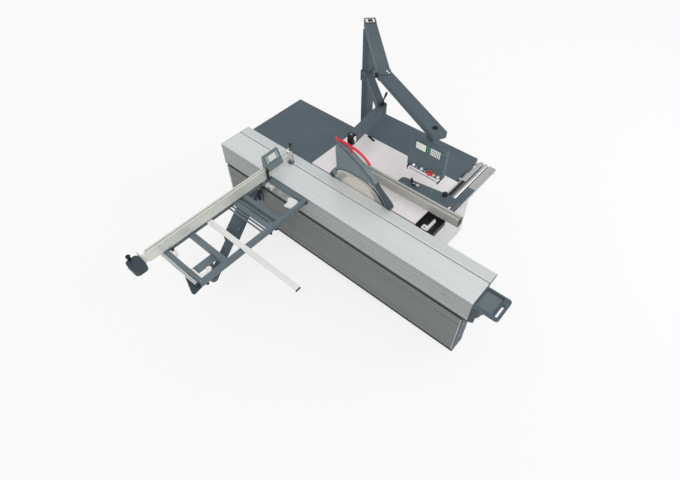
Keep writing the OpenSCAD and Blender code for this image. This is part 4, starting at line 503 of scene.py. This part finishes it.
dress("control_panel", panel_looks, 0.8, panel_part)


# Detail pieces
def corners(name):
    """Lowest and highest corner of a CAD node at rest, in millimetres."""
    low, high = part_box(name)
    return Vector(low) / MM, Vector(high) / MM


class Piece:
    """A piece made of lofted and turned shapes, in millimetres, that rides on one body."""

    def __init__(self, name):
        self.name = name
        self.mesh = bmesh.new()
        self.turn = Matrix()

    def loft(self, rings):
        """A closed solid through rings of the same number of points."""
        rows = [[self.mesh.verts.new(self.turn @ Vector(p) * MM) for p in ring] for ring in rings]
        for a, b in zip(rows, rows[1:]):
            for i in range(len(a)):
                j = (i + 1) % len(a)
                self.mesh.faces.new((a[i], a[j], b[j], b[i]))
        self.mesh.faces.new(rows[0][::-1])
        self.mesh.faces.new(rows[-1])

    def block(self, x0, x1, y0, y1, z0, z1):
        self.loft([[(x0, y0, z), (x1, y0, z), (x1, y1, z), (x0, y1, z)] for z in (z0, z1)])

    def slab(self, corner, along, up, out, sizes):
        """Block from a corner, measured along three directions."""
        a, b, c = (Vector(v).normalized() * size for v, size in zip((along, up, out), sizes))
        base = Vector(corner)
        self.loft([[base + k, base + a + k, base + a + b + k, base + b + k] for k in (Vector(), c)])

    def turned(self, at, axis, profile, sides=20):
        """A profile of radius and height pairs, turned round an axis from a point."""
        axis = Vector(axis).normalized()
        side = axis.orthogonal().normalized()
        other = axis.cross(side)
        rings = []
        for radius, height in profile:
            ring = []
            for i in range(sides):
                angle = 2 * math.pi * i / sides
                out = (side * math.cos(angle) + other * math.sin(angle)) * max(radius, 0.05)
                ring.append(Vector(at) + axis * height + out)
            rings.append(ring)
        self.loft(rings)

    def swept(self, points, radius, sides=10):
        """A round bar along points."""
        points = [Vector(p) for p in points]
        rings = []
        side = None
        for i, p in enumerate(points):
            ahead = (points[min(i + 1, len(points) - 1)] - points[max(i - 1, 0)]).normalized()
            side = (side - ahead * side.dot(ahead)).normalized() if side else ahead.orthogonal().normalized()
            other = ahead.cross(side)
            angles = [2 * math.pi * k / sides for k in range(sides)]
            rings.append([p + (side * math.cos(t) + other * math.sin(t)) * radius for t in angles])
        self.loft(rings)

    def cap_screw(self, at, axis, r):
        """Head of a socket screw."""
        self.turned(at, axis, [(r, -0.5), (r, r * 0.85), (r * 0.86, r), (r * 0.52, r), (r * 0.5, r * 0.4),
                               (0, r * 0.4)])

    def hex_bolt(self, at, axis, r):
        """Hexagon head on a washer."""
        self.turned(at, axis, [(r * 1.5, -0.5), (r * 1.5, r * 0.18), (r * 1.4, r * 0.24), (0, r * 0.24)])
        self.turned(at, axis, [(r, r * 0.2), (r, r * 0.8), (r * 0.85, r * 0.92), (0, r * 0.92)], 6)

    def done(self, body, look, bevel=0.3):
        """Makes the object, with its material and soft edges, on its body."""
        bmesh.ops.recalc_face_normals(self.mesh, faces=self.mesh.faces)
        data = bpy.data.meshes.new(self.name)
        self.mesh.to_mesh(data)
        self.mesh.free()
        for p in data.polygons:
            p.use_smooth = True
        data.materials.append(M[look])
        o = bpy.data.objects.new(self.name, data)
        scene.collection.objects.link(o)
        soft_edges(o, bevel, 30)
        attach(o, body)


def level(angle):
    """Level direction at an angle from X, in radians."""
    return Vector((math.cos(angle), math.sin(angle), 0))


def ring_points(count, radius):
    """Points of a circle, the first one again at the end."""
    angles = [2 * math.pi * k / count for k in range(count + 1)]
    return [(radius * math.cos(a), radius * math.sin(a)) for a in angles]


def mark(i, long, middling, short):
    """Length of a scale's mark: every tenth is long and every fifth is middling."""
    if i % 10 == 0:
        return long
    return middling if i % 5 == 0 else short


def raised_panel(name, outline, y, steps):
    """A thin plate with a chamfered edge on the cabinet's front or rear."""
    x0, x1, z0, z1 = outline
    panel = Piece(name)
    panel.loft([[(x0 + k, y + h, z0 + k), (x1 - k, y + h, z0 + k), (x1 - k, y + h, z1 - k),
                 (x0 + k, y + h, z1 - k)] for k, h in steps])
    panel.done("base", "pale", 0.8)


def guard_strip(name, edge, inner, face, thickness, look):
    """A strip on the guard's left side, between two lines of Y and Z."""
    strip = Piece(name)
    for (a, b), (c, d) in zip(zip(edge, edge[1:]), zip(inner, inner[1:])):
        strip.loft([[(x, *a), (x, *b), (x, *d), (x, *c)] for x in (face, face - thickness)])
    strip.done("guard", look, 0.2)


def bed_details():
    """Dark foot strip, white end lines of painted highlight, bolts and a black top strip of painted shadow,
    on the bed beam.
    """
    low, high = corners("bed_beam")
    face = low.x
    y0, y1 = low.y, high.y
    skirt_h, skirt_t, end_cap = 20, 3, 10
    skirt = Piece("bed_skirt")
    line_z = low.z + skirt_h + skirt_t
    skirt.loft([[(face, y, low.z), (face - skirt_t, y, low.z), (face - skirt_t, y, low.z + skirt_h),
                 (face, y, line_z)] for y in (y0 - 6, y1 + 6)])
    skirt.done("base", "black")
    # Painted highlight: thin white lines down the bed's two end edges stand for light caught on those edges.
    for name, y in (("bed_edge_highlight_front", y0 + 2), ("bed_edge_highlight_rear", y1 - 6)):
        line = Piece(name)
        line.loft([[(face, y, z), (face - 1.2, y, z), (face - 1.2, y + 4, z), (face, y + 4, z)]
                   for z in (line_z, high.z)])
        line.done("base", "whitepaint", 0.2)
    bolts = Piece("bed_end_bolts")
    for y, axis in ((y0 - end_cap, -Y), (y1 + end_cap, Y)):
        for x in (face + 30, face + 130):
            for z in (low.z + 60, low.z + 260, low.z + 460):
                bolts.cap_screw((x, y, z), axis, 9)
    bolts.done("base", "zinc")
    # Painted shadow: a thin black strip along the bed's top edge stands for the shadow in the gap under the
    # carriage.
    shadow_strip = Piece("bed_top_shadow_strip")
    x0, x1, z0, z1 = face + 2, face + 8, high.z, high.z + 3
    shadow_strip.loft([[(x0, y, z0), (x0, y, z1), (x1, y, z1), (x1, y, z0)] for y in (y0, y1)])
    shadow_strip.done("base", "black")


def table_details():
    """Screws of the insert, the rip rail's scale, bolts and plugs, and the clip on the table."""
    low, high = corners("table_insert")
    screws = Piece("insert_screws")
    head = [(3.9, 0), (3.9, 4.2), (3.4, 4.8), (1.8, 4.8), (1.6, 2.5), (0, 2.5)]
    for i in range(5):
        screws.turned((high.x - 6, low.y + 25 + i * 157.5, TOP - 6), Z, head)
    screws.done("base", "zinc", 0.15)
    low, high = corners("rip_rail")
    scale = Piece("rail_scale")
    x0, x1, y0, z0 = low.x + 20, high.x - 20, low.y + 3, 879.8
    for i in range(int((x1 - x0) / 10)):
        x = x0 + i * 10
        scale.block(x, x + 1, y0, y0 + mark(i, 16, 11, 7), z0, z0 + 0.5)
    scale.done("base", "black", 0.05)
    bolts = Piece("rail_bolts")
    for i in range(5):
        bolts.hex_bolt((low.x + 60 + i * 200, low.y + 0.4, 862), -Y, 7)
    bolts.done("base", "zinc")
    caps = Piece("rail_end_plugs")
    bar_low, bar_high = corners("rip_guide_bar")
    middle = (bar_low + bar_high) / 2
    for x, axis in ((bar_low.x, -X), (bar_high.x, X)):
        caps.turned((x, middle.y, middle.z), axis, [(20, -2), (20, 2), (17, 4), (6, 4), (5, 3), (0, 3)], 32)
    caps.done("base", "black_satin")
    clip = Piece("table_clip")
    clip.turn = Matrix.Translation((687, 388, TOP)) @ Matrix.Rotation(math.radians(73), 4, "Z")
    clip.block(-52, 52, -12, 12, 0, 5)
    clip.block(-44, 44, -7, 7, 5, 9)
    for x in (-30, 30):
        clip.cap_screw((x, 0, 9), Z, 4)
    clip.done("base", "black_satin", 1)


def extension_bolts():
    """Bolts that hold the extension tables to their struts."""
    sheet = 5
    bolts = Piece("table_bolts")
    insets = (("rip_extension_table", 30, 28, 28), ("rear_extension_table", 40, 40, 60))
    for name, side, front, rear in insets:
        low, high = corners(name)
        for y in (low.y + front, high.y - rear):
            for x in (low.x + side, high.x - side):
                bolts.hex_bolt((x, y, TOP - sheet), -Z, 6)
    bolts.done("base", "zinc")


def cabinet_details():
    """Service panels with their screws, the louvres and the door's latch of the cabinet."""
    low, high = corners("cabinet")
    front, rear, left = low.y, high.y, low.x
    x0, x1, z0, z1 = left + 70, left + 700, 120, 700
    raised_panel("cabinet_front_panel", (x0, x1, z0, z1), front, ((0, 0), (0, -2), (3, -4)))
    screws = Piece("cabinet_panel_screws")
    for x in (x0 + 18, (x0 + x1) / 2, x1 - 18):
        for z in (z0 + 18, z1 - 18):
            screws.cap_screw((x, front - 4, z), -Y, 5)
    for x in (left + 90, left + 480):
        for z in (150, 690):
            screws.cap_screw((x, rear + 3, z), Y, 5)
    screws.done("base", "zinc", 0.2)
    x0, x1, z0, z1 = left + 66, left + 506, 336, 716
    raised_panel("cabinet_rear_panel", (x0, x1, z0, z1), rear, ((0, 0), (0, 2), (3, 3.5)))
    louvres = Piece("cabinet_louvres")
    for i in range(9):
        z = 430 + i * 26
        louvres.loft([[(x, rear, z), (x, rear + 8, z + 3), (x, rear + 8, z + 5), (x, rear, z + 16)]
                      for x in (640, 860)])
    louvres.done("base", "pale", 0.5)
    door = corners("cabinet_door")[0]
    vents = Piece("door_louvres")
    face = door.x + 18
    for i in range(7):
        z = door.z + 60 + i * 24
        vents.loft([[(face, y, z), (face + 7, y, z + 2), (face + 7, y, z + 4), (face, y, z + 14)]
                    for y in (door.y + 200, door.y + 460)])
    vents.done("door", "pale", 0.5)
    latch = Piece("door_latch")
    at = (face, door.y + 40, door.z + 380)
    latch.turned(at, X, [(16, -1), (16, 6), (13, 9), (4, 9), (3, 5), (0, 5)], 28)
    latch.done("door", "black_satin", 0.4)


def column_details():
    """Foot bolts of the column and the cap on the arm's root."""
    foot_t = 16
    bolts = Piece("column_foot_bolts")
    for x in (column_x - 98, column_x + 98):
        for y in (column_y - 41, column_y + 91):
            bolts.hex_bolt((x, y, foot_t), Z, 10)
    bolts.done("base", "zinc")
    top = corners("upper_arm")[1].z
    root = Matrix.Translation((column_x, column_y, 0)) @ Matrix.Rotation(upper_arm_turn, 4, "Z")
    cap = Piece("arm_cap")
    cap.turn = root
    cap.block(-36, 36, -46, 42, top - 9, top - 3)
    cap.done("arm_upper", "white", 1)
    core = Piece("arm_cap_core")
    core.turn = root
    core.block(-26, 26, -22, 22, top - 3, top - 1.5)
    core.done("arm_upper", "black_satin", 1)


def arm_details():
    """Clips and clamp knob of the elbow, and the bolt over the panel's pivot."""
    clips = Piece("elbow_clips")
    for x, y in ((370, 22), (358, -6)):
        clips.block(x, x + 16, y, y + 14, elbow_top, elbow_top + 3)
    clips.done("arm_upper", "white", 0.8)
    knob = Piece("elbow_knob")
    side = level(upper_arm_turn - math.pi / 2)
    start = elbow + Z * 1915 + side * 49
    knob.turned(start, side, [(10, -6), (10, 6), (21, 8), (23, 14), (23, 26), (20, 30), (0, 30)], 12)
    knob.done("arm_upper", "black_satin", 1)
    bolt = Piece("head_bolt")
    bolt.turned(forearm_end, Z, [(22, -1), (22, 3), (19, 5), (0, 5)], 32)
    bolt.hex_bolt(forearm_end + Z * 4.5, Z, 9)
    bolt.done("arm_fore", "black_satin", 0.4)


def panel_details():
    """Rims of the buttons, the face plate with its screen and keys, the screws and the rear cover."""
    low, high = panel_y
    face = panel_face
    collar = Piece("stop_collar")
    collar.swept([(face - 1, stop_y + a, button_z + b) for a, b in ring_points(32, 20.5)], 1.5, 8)
    collar.done("panel", "amber", 0.2)
    rims = Piece("button_rims")
    for button in button_looks:
        y = low + first_button + button_pitch * button
        rims.swept([(face - 8.4, y + a, button_z + b) for a, b in ring_points(24, 10.6)], 0.9, 6)
    rims.done("panel", "chrome", 0.05)
    sunk = 0.2
    front = face - 3.2
    plate = Piece("panel_face_plate")
    plate.block(front, face - sunk, low + 5, high - 5, 1692, 1872)
    plate.done("panel", "slate", 0.8)
    y0, y1, z0, z1 = -705, -618, 1806, 1866
    pane = Piece("screen_pane")
    pane.block(front - 1.2, front + sunk, y0, y1, z0, z1)
    pane.done("panel", "lcd", 0.4)
    edge = Piece("screen_edge")
    rim_y, rim_z = 4, 3.5
    for z in (z1, z0 - rim_z):
        edge.block(front - 2, front + sunk, y0 - rim_y, y1 + rim_y, z, z + rim_z)
    for y in (y0 - rim_y, y1):
        edge.block(front - 2, front + sunk, y, y + rim_y, z0, z1)
    edge.done("panel", "black_satin", 0.3)
    half_w, half_h = 4.5, 9
    for name, look, columns in (("green_keys", "green", (-720, -735)),
                                ("white_keys", "white", (-751, -765, -779, -793, -807, -821))):
        keys = Piece(name)
        for y in columns:
            for z in (1815, 1836, 1857):
                keys.block(front - 2.4, front + sunk, y - half_w, y + half_w, z - half_h, z + half_h)
        keys.done("panel", look, 1)
    rear = face + 46
    screws = Piece("panel_screws")
    for y in (low + 12, high - 12):
        for z in (1628, 1864):
            screws.cap_screw((face, y, z), -X, 4)
    for y in (low + 40, high - 40):
        for z in (1650, 1840):
            screws.cap_screw((rear, y, z), X, 4)
    screws.done("panel", "zinc", 0.15)
    back = Piece("panel_back_cover")
    y0, y1, z0, z1 = low + 24, high - 24, 1640, 1800
    back.loft([[(rear + h, y0 + k, z0 + k), (rear + h, y1 - k, z0 + k), (rear + h, y1 - k, z1 - k),
                (rear + h, y0 + k, z1 - k)] for k, h in ((0, 0), (0, 6), (6, 10))])
    back.done("panel", "slate_dark", 1)


def guard_details():
    """Dark rims and strips, ribs, feet and rivets of the blade guard, and the mast clamp's knob."""
    face = corners("guard_hood")[0].x
    arch = [(258, 1024), (200, 1064), (133, 1085), (74, 1090), (-20, 1093), (-105, 1089), (-162, 1064),
            (-235, 1019), (-295, 950), (-309, 912)]
    rim = Piece("guard_arch_rim")
    rim.swept([(face - 1, y, z) for y, z in arch], 4, 8)
    rim.done("guard", "arch", 0.1)
    leg = [(-393, 906), (-391, 930), (-361, 972), (-303, 1016), (-252, 1058), (-206, 1107)]
    inner = [(-350, 906), (-345, 930), (-330, 960), (-300, 1000), (-262, 1040), (-226, 1074)]
    band_t = 1.6
    guard_strip("guard_leg_band", leg, inner, face, band_t, "slate_dark")
    ribs = Piece("guard_leg_ribs")
    for t in (0.15, 0.5, 0.85):
        line = [(face - band_t, a + (c - a) * t, b + (d - b) * t) for (a, b), (c, d) in zip(leg, inner)]
        ribs.swept(line, 1.6, 6)
    ribs.done("guard", "slate", 0.1)
    lower = [(-340, 906), (-325, 945), (-293, 985), (-250, 1025), (-193, 1066)]
    upper = [(-322, 906), (-309, 944), (-278, 976), (-240, 1010), (-186, 1052)]
    guard_strip("guard_front_shade", lower, upper, face, 1.2, "black_satin")
    feet = Piece("guard_feet")
    feet.turned((face - 7, -376, 924), X, [(0, 2), (7, 2), (8, 0), (14, 0), (17, 2), (17, 8)], 28)
    feet.turned((face - 7, 304, 938), X, [(0, 2), (8, 2), (9, 0), (23, 0), (26, 2), (26, 8)], 32)
    feet.done("guard", "arch", 0.4)
    rivets = Piece("guard_rivets")
    for y, z in ((-150, 1150), (-40, 1215), (60, 1262), (180, 1300), (238, 1180), (236, 1090), (-260, 1034)):
        rivets.turned((face, y, z), -X, [(5, -0.4), (5, 0.8), (3.4, 2.2), (0, 2.4)], 16)
    rivets.done("guard", "slate_dark", 0.2)
    crease = Piece("guard_crease")
    fold = ((150, 1310), (20, 1244), (-120, 1150), (-190, 1096))
    crease.swept([(face - 0.2, y, z) for y, z in fold], 1.6, 6)
    crease.done("guard", "slate_dark", 0.05)
    rest = Piece("guard_handle_rest")
    upper_edge = ((250, 1356), (60, 1289), (-60, 1227), (-150, 1167), (-204, 1106))
    rest.swept([(face + 1, y, z) for y, z in upper_edge], 4, 8)
    rest.done("guard", "black_satin", 0.1)
    tee = Piece("mast_clamp_knob")
    stem_z, bar_y = 1428, mast_y - 46
    tee.turned((mast_x, mast_y - 14, stem_z), -Y, [(9, 0), (9, 24), (7, 28), (7, 34), (0, 34)], 20)
    tee.swept([(mast_x, bar_y, stem_z + rise) for rise in (-24, -20, 20, 24)], 8, 14)
    tee.done("base", "white", 0.5)


def boom_details():
    """Knuckle ring, knuckle lever's grip and collar screws of the guard's boom."""
    ring = Piece("knuckle_ring")
    ring.turned(knuckle, Z, [(44, -0.5), (44, 3), (40, 5), (26, 5), (25, 3), (0, 3)], 36)
    ring.done("base", "slate_dark", 0.5)
    screws = Piece("collar_screws")
    for z in (1372, 1438):
        for y in (column_y - 14, column_y + 14):
            screws.cap_screw((901.6, y, z), -X, 7)
    screws.done("base", "zinc", 0.2)
    grip = Piece("knuckle_lever_grip")
    lever_foot = knuckle + Z * 12
    along = Vector((math.sin(knuckle_lever_lean), 0, math.cos(knuckle_lever_lean)))
    grip.turned(lever_foot + along * 58, along, [(7.2, 0), (10, 6), (11, 26), (10, 44), (6, 50), (0, 51)], 20)
    grip.done("base", "black_satin", 0.3)


def carriage_details():
    """Rear end screws, a hole's rim, a tray lining in a lighter slate as painted light, and a black lip of
    painted shadow along the bottom edge, on the sliding carriage.
    """
    low, high = corners("carriage")
    screws = Piece("carriage_end_screws")
    for x, z in ((-375, 880), (-375, 680), (-262, 680), (-262, 880), (-60, 884), (-200, 870)):
        screws.cap_screw((x, high.y + 4, z), Y, 5)
    screws.done("sliding_carriage", "zinc", 0.2)
    rim = Piece("carriage_hole_rims")
    profile = [(7, -0.3), (7, 0.6), (6, 1), (4.6, 1), (4.4, -2), (0, -2)]
    rim.turned((low.x, low.y + 247, 794), -X, profile, 20)
    rim.done("sliding_carriage", "slate_dark", 0.1)
    # The tray's lining takes the lighter copy of the slate paint: painted light on the tray's floor.
    lining = Piece("tray_lining")
    tray_low, tray_high = corners("carriage_handle")
    floor_z = tray_high.z - 20
    rib_z = floor_z + 1.6
    x0, x1, y0, y1 = low.x + 22, low.x + 210, tray_low.y + 60, tray_high.y - 16
    lining.block(x0, x1, y0, y1, floor_z, rib_z)
    for i in range(11):
        x = x0 + 10 + i * 17
        lining.block(x, x + 5, y0 + 6, y1 - 6, rib_z, floor_z + 3)
    lining.done("sliding_carriage", "recess", 0.4)
    # Painted shadow: a thin black lip along the carriage's bottom edge stands for the shadow in the gap over
    # the bed.
    shadow_lip = Piece("carriage_gap_shadow_lip")
    lip = low.x - 1.2
    shadow_lip.loft([[(x, y, z) for x, z in ((lip, 650), (low.x, 650), (low.x, 660), (lip, 656))]
                for y in (low.y, high.y)])
    shadow_lip.done("sliding_carriage", "black", 0.2)


def fence_details():
    """Scale and end plug of the crosscut fence, the stop's readout, and the extension's screws and knob."""
    low, high = corners("crosscut_fence")
    scale = Piece("fence_scale")
    for i in range(int((high.x - low.x - 40) / 10)):
        x = low.x + 20 + i * 10
        scale.block(x, x + 0.8, high.y - 3 - mark(i, 9, 6, 4), high.y - 3, high.z - 0.2, high.z + 0.3)
    scale.done("fence", "black", 0.05)
    plug = Piece("fence_end_plug")
    plug.block(high.x, high.x + 4, low.y, high.y, low.z, high.z)
    for z in (low.z + 20, high.z - 20):
        plug.cap_screw((high.x + 4, (low.y + high.y) / 2, z), X, 4)
    plug.done("fence", "slate_dark", 0.8)
    x0, x1 = readout_x
    slope = readout_ridge - readout_foot
    up = slope.normalized()
    out = Vector((0, -up.z, up.y))

    def on_slope(piece, x, share, width, share_up, thickness):
        """A slab on the readout's sloping face, measured as shares of the slope."""
        corner = X * x + readout_foot + slope * share
        piece.slab(corner, X, up, out, (width, slope.length * share_up, thickness))

    bezel = Piece("readout_bezel")
    width = x1 - x0 - 16
    for x, share, across, share_up in ((x0 + 8, 0.4, width, 0.06), (x0 + 8, 0.93, width, 0.05),
                                       (x0 + 8, 0.46, 8, 0.47), (x1 - 16, 0.46, 8, 0.47)):
        on_slope(bezel, x, share, across, share_up, 2)
    bezel.done("stop", "slate_light", 0.5)
    window = Piece("readout_window_pane")
    on_slope(window, x0 + 50, 0.5, 92, 0.4, 1.2)
    window.done("stop", "lcd", 0.5)
    bars = Piece("readout_bars")
    for x in (x0 + 24, x1 - 40):
        on_slope(bars, x, 0.46, 16, 0.46, 1.6)
    bars.done("stop", "lcd_green", 0.5)
    side = Piece("readout_side_screws")
    for x, axis in ((x0, -X), (x1, X)):
        for y, z in ((790, 1030), (806, 1120)):
            side.cap_screw((x, y, z), axis, 4)
    side.done("stop", "zinc", 0.2)
    low, high = corners("fence_extension")
    screws = Piece("extension_screws")
    for y in (785, 830):
        for z in (920, 985):
            screws.cap_screw((low.x + 123.2, y, z), X, 4)
    screws.done("fence_end", "zinc", 0.2)
    knob = Piece("fence_end_knob")
    profile = [(6, -20), (6, 0), (20, 2), (21, 8), (17, 13), (8, 15), (0, 15)]
    knob.turned((-1898, 856, high.z - 4), Z, profile, 28)
    knob.done("fence_end", "black_satin", 0.5)


def outrigger_details():
    """Screws, welds, roller ends, knob, corner casting and slat bolts of the outrigger frame."""
    y0, y1 = frame_y
    tube = 40
    screws = Piece("frame_screws")
    for x in (frame_x + tube / 2, -1356, -933, -899, -846, -733, -412):
        for y in (y0 + tube / 2, y1 - tube / 2):
            screws.cap_screw((x, y, frame_top), Z, 5)
    screws.done("sliding_carriage", "zinc", 0.2)
    seams = Piece("frame_weld_beads")
    for x in (frame_x + tube, -1381, -1331, -432):
        for y in (y0 + tube, y1 - tube):
            seams.swept([(x, y, frame_top - 1), (x, y, frame_top - 48)], 2.2, 8)
    seams.done("sliding_carriage", "slate_light", 0.1)
    ends = Piece("roller_end_caps")
    low, high = corners("outrigger_roller")
    middle = (low + high) / 2
    for y, axis in ((low.y, -Y), (high.y, Y)):
        ends.turned((middle.x, y, middle.z), axis, [(9, -0.5), (9, 2), (6, 3.5), (0, 3.5)], 20)
    ends.done("roller", "black_satin", 0.3)
    knob = Piece("frame_corner_knob")
    knob.turned((-1576, 748, frame_top - 4), Z, [(8, -1), (8, 3), (14, 4), (15, 10), (12, 14), (0, 14)], 12)
    knob.done("sliding_carriage", "black_satin", 0.6)
    casting = Piece("corner_casting")
    lobes = [(-572, 418), (-550, 336), (-489, 321), (-446, 363), (-456, 444), (-488, 458), (-520, 420)]
    middle = Vector((sum(x for x, y in lobes), sum(y for x, y in lobes))) / len(lobes)
    casting.loft([[tuple(middle + (Vector(p) - middle) * k) + (z,) for p in lobes]
                  for k, z in ((1, 848), (1, 866), (0.9, 871))])
    casting.done("sliding_carriage", "whitepaint", 1.2)
    studs = Piece("slat_bolts")
    for y in (551, 772):
        studs.turned((-487, y, frame_top - 1), Z, [(11, 0), (11, 3), (7, 5), (7, 12), (0, 12)], 20)
    studs.done("sliding_carriage", "chrome", 0.3)


def swing_arm_details():
    """Pivot cap, end plugs and screws of the swing arm."""
    cap = Piece("swing_pivot_cap")
    cap_at = swing_pivot + Z * (swing_top + 3.5)
    cap.turned(cap_at, Z, [(30, -3), (30, 1), (26, 3), (8, 3), (6, 1), (0, 1)], 32)
    cap.done("base", "black_satin", 0.4)
    along = level(swing_turn)
    across = Vector((-along.y, along.x, 0))
    side_out, plug_w, arm_length = 52, 28, 640
    end = swing_pivot + along * arm_length + Z * 578
    plug = Piece("swing_arm_rim")
    for side in (-side_out, side_out):
        plug.slab(end + across * (side - plug_w / 2), across, Z, along, (plug_w, 64, 5))
    plug.done("arm_outer", "black_satin", 0.8)
    screws = Piece("swing_arm_screws")
    for distance in (120, 330, 540):
        for side in (-side_out, side_out):
            screws.cap_screw(swing_pivot + along * distance + across * side + Z * swing_top, Z, 6)
    screws.done("arm_outer", "zinc", 0.2)


def rip_details():
    """End plugs of the rip fence, and its carrier's window, screws and lever cap."""
    low, high = corners("rip_fence")
    plug = Piece("rip_fence_plugs")
    for y0, y1 in ((low.y - 4, low.y), (high.y, high.y + 4)):
        plug.block(low.x, high.x, y0, y1, low.z, high.z)
    plug.done("rip_profile", "black", 1)
    low = corners("rip_carrier")[0]
    top = 948
    window = Piece("carrier_window")
    window.block(low.x + 20, low.x + 70, -812, -786, top, top + 2.5)
    window.done("rip_unit", "black_satin", 0.6)
    glass = Piece("carrier_window_pane")
    glass.block(low.x + 25, low.x + 65, -808, -790, top + 2.4, top + 3.2)
    glass.done("rip_unit", "lcd", 0.3)
    screws = Piece("carrier_screws")
    for distance, y in ((18, -640), (160, -640), (18, -560), (130, -560), (30, -300)):
        screws.cap_screw((low.x + distance, y, top), Z, 5)
    screws.done("rip_unit", "zinc", 0.2)
    knob = Piece("rip_lever_cap")
    knob.turned((358, -382, 965), Z, [(9, -1), (9, 2), (7, 3.5), (0, 3.5)], 24)
    knob.done("rip_handle", "chrome", 0.2)


def motor_details():
    """Fan grille and terminal box of the motor."""
    low, high = corners("motor")
    middle = (low + high) / 2
    grille = Piece("motor_grille")
    for i in range(5):
        r = 20 + i * 14
        profile = [(r, -0.5), (r, 1.5), (r - 4, 1.5), (r - 4, 0.2), (0, 0.2)]
        grille.turned((high.x, middle.y, middle.z), X, profile, 36)
    grille.done("arbor_unit", "black", 0.3)
    box = Piece("motor_terminal_box")
    x0, x1, y0, y1 = low.x + 70, low.x + 160, middle.y - 45, middle.y + 45
    box.loft([[(x0 + k, y0 + k, z), (x1 - k, y0 + k, z), (x1 - k, y1 - k, z), (x0 + k, y1 - k, z)]
              for k, z in ((0, high.z - 12), (0, high.z + 8), (4, high.z + 12))])
    box.done("arbor_unit", "black", 0.8)


bed_details()
table_details()
extension_bolts()
cabinet_details()
column_details()
arm_details()
panel_details()
guard_details()
boom_details()
carriage_details()
fence_details()
outrigger_details()
swing_arm_details()
rip_details()
motor_details()


# Stage, light and camera
def fresh_nodes(tree, kinds):
    """Clears a node tree and gives it nodes of these kinds."""
    tree.nodes.clear()
    return [tree.nodes.new("ShaderNode" + kind) for kind in kinds]


def link_all(tree, pairs):
    """Joins each output to its input."""
    for a, b in pairs:
        tree.links.new(a, b)


def floor_material():
    """Ground that glows near white to the camera and still takes the part's shadow."""
    grey, glow_share = 0.9, 0.72
    look = bpy.data.materials.new("studio_floor")
    look.use_nodes = True
    tree = look.node_tree
    kinds = ("OutputMaterial", "BsdfDiffuse", "Emission", "MixShader", "LightPath", "Math")
    out, diffuse, glow, mix, rays, share = fresh_nodes(tree, kinds)
    diffuse.inputs["Color"].default_value = (grey, grey, grey, 1)
    glow.inputs["Strength"].default_value = 1.0
    share.operation = "MULTIPLY"
    share.inputs[1].default_value = glow_share
    link_all(tree, ((rays.outputs["Is Camera Ray"], share.inputs[0]), (share.outputs[0], mix.inputs[0]),
                    (diffuse.outputs[0], mix.inputs[1]), (glow.outputs[0], mix.inputs[2]),
                    (mix.outputs[0], out.inputs["Surface"])))
    return look


def studio_floor():
    """A large square just under the part's feet."""
    half, drop = 40, 0.0005
    square = [(-half, -half, 0), (half, -half, 0), (half, half, 0), (-half, half, 0)]
    mesh = bpy.data.meshes.new("floor")
    mesh.from_pydata(square, [], [(0, 1, 2, 3)])
    mesh.materials.append(floor_material())
    floor = bpy.data.objects.new("floor", mesh)
    floor.location = (0, 0, -drop)
    scene.collection.objects.link(floor)


def studio_world():
    """White to the camera and through the clear sheets, and a plain level of light on the part."""
    part_light, background = 0.62, 1.0
    world = bpy.data.worlds.new("studio")
    world.use_nodes = True
    tree = world.node_tree
    kinds = ("OutputWorld", "Background", "Background", "LightPath", "Math", "MixShader")
    out, lit, seen, rays, either, mix = fresh_nodes(tree, kinds)
    for node, strength in ((lit, part_light), (seen, background)):
        node.inputs["Color"].default_value = (1, 1, 1, 1)
        node.inputs["Strength"].default_value = strength
    either.operation = "MAXIMUM"
    link_all(tree, ((rays.outputs["Is Camera Ray"], either.inputs[0]),
                    (rays.outputs["Is Transmission Ray"], either.inputs[1]),
                    (either.outputs[0], mix.inputs[0]), (lit.outputs[0], mix.inputs[1]),
                    (seen.outputs[0], mix.inputs[2]), (mix.outputs[0], out.inputs["Surface"])))
    scene.world = world


def lamp(name, kind, energy, location, size=1.0, angle=20):
    """A sun with an angle in degrees or a round area lamp with a size, turned to the part's middle."""
    data = bpy.data.lights.new(name, kind)
    data.energy = energy
    if kind == "AREA":
        data.shape = "DISK"
        data.size = size
    else:
        data.angle = math.radians(angle)
    o = bpy.data.objects.new(name, data)
    scene.collection.objects.link(o)
    o.location = location
    o.rotation_mode = "QUATERNION"
    middle = Vector((0, 0, 0.8))
    o.rotation_quaternion = (middle - Vector(location)).to_track_quat("-Z", "Y")


def photo_camera():
    """The photo's camera: its focal length and picture width in pixels, its place and its turn."""
    focal_length, picture_width, sensor = 479.16, 680, 36
    place = (-2.551, -2.040, 4.071)
    turn = Vector((2.25537485, -1.03017374, 0.362364204))
    camera = bpy.data.objects.new("camera", bpy.data.cameras.new("camera"))
    scene.collection.objects.link(camera)
    camera.data.sensor_width = sensor
    camera.data.lens = focal_length / picture_width * sensor
    camera.data.clip_end = 100
    to_camera = Quaternion(turn.normalized(), turn.length).to_matrix()
    facing = to_camera.transposed() @ Matrix.Diagonal((1, -1, -1))
    camera.matrix_world = Matrix.Translation(place) @ facing.to_4x4()
    scene.camera = camera


studio_floor()
studio_world()
lamp("key", "SUN", 1.15, (-3, -2.5, 6), angle=25)
lamp("fill", "AREA", 60, (4, -5, 4), size=4)
photo_camera()
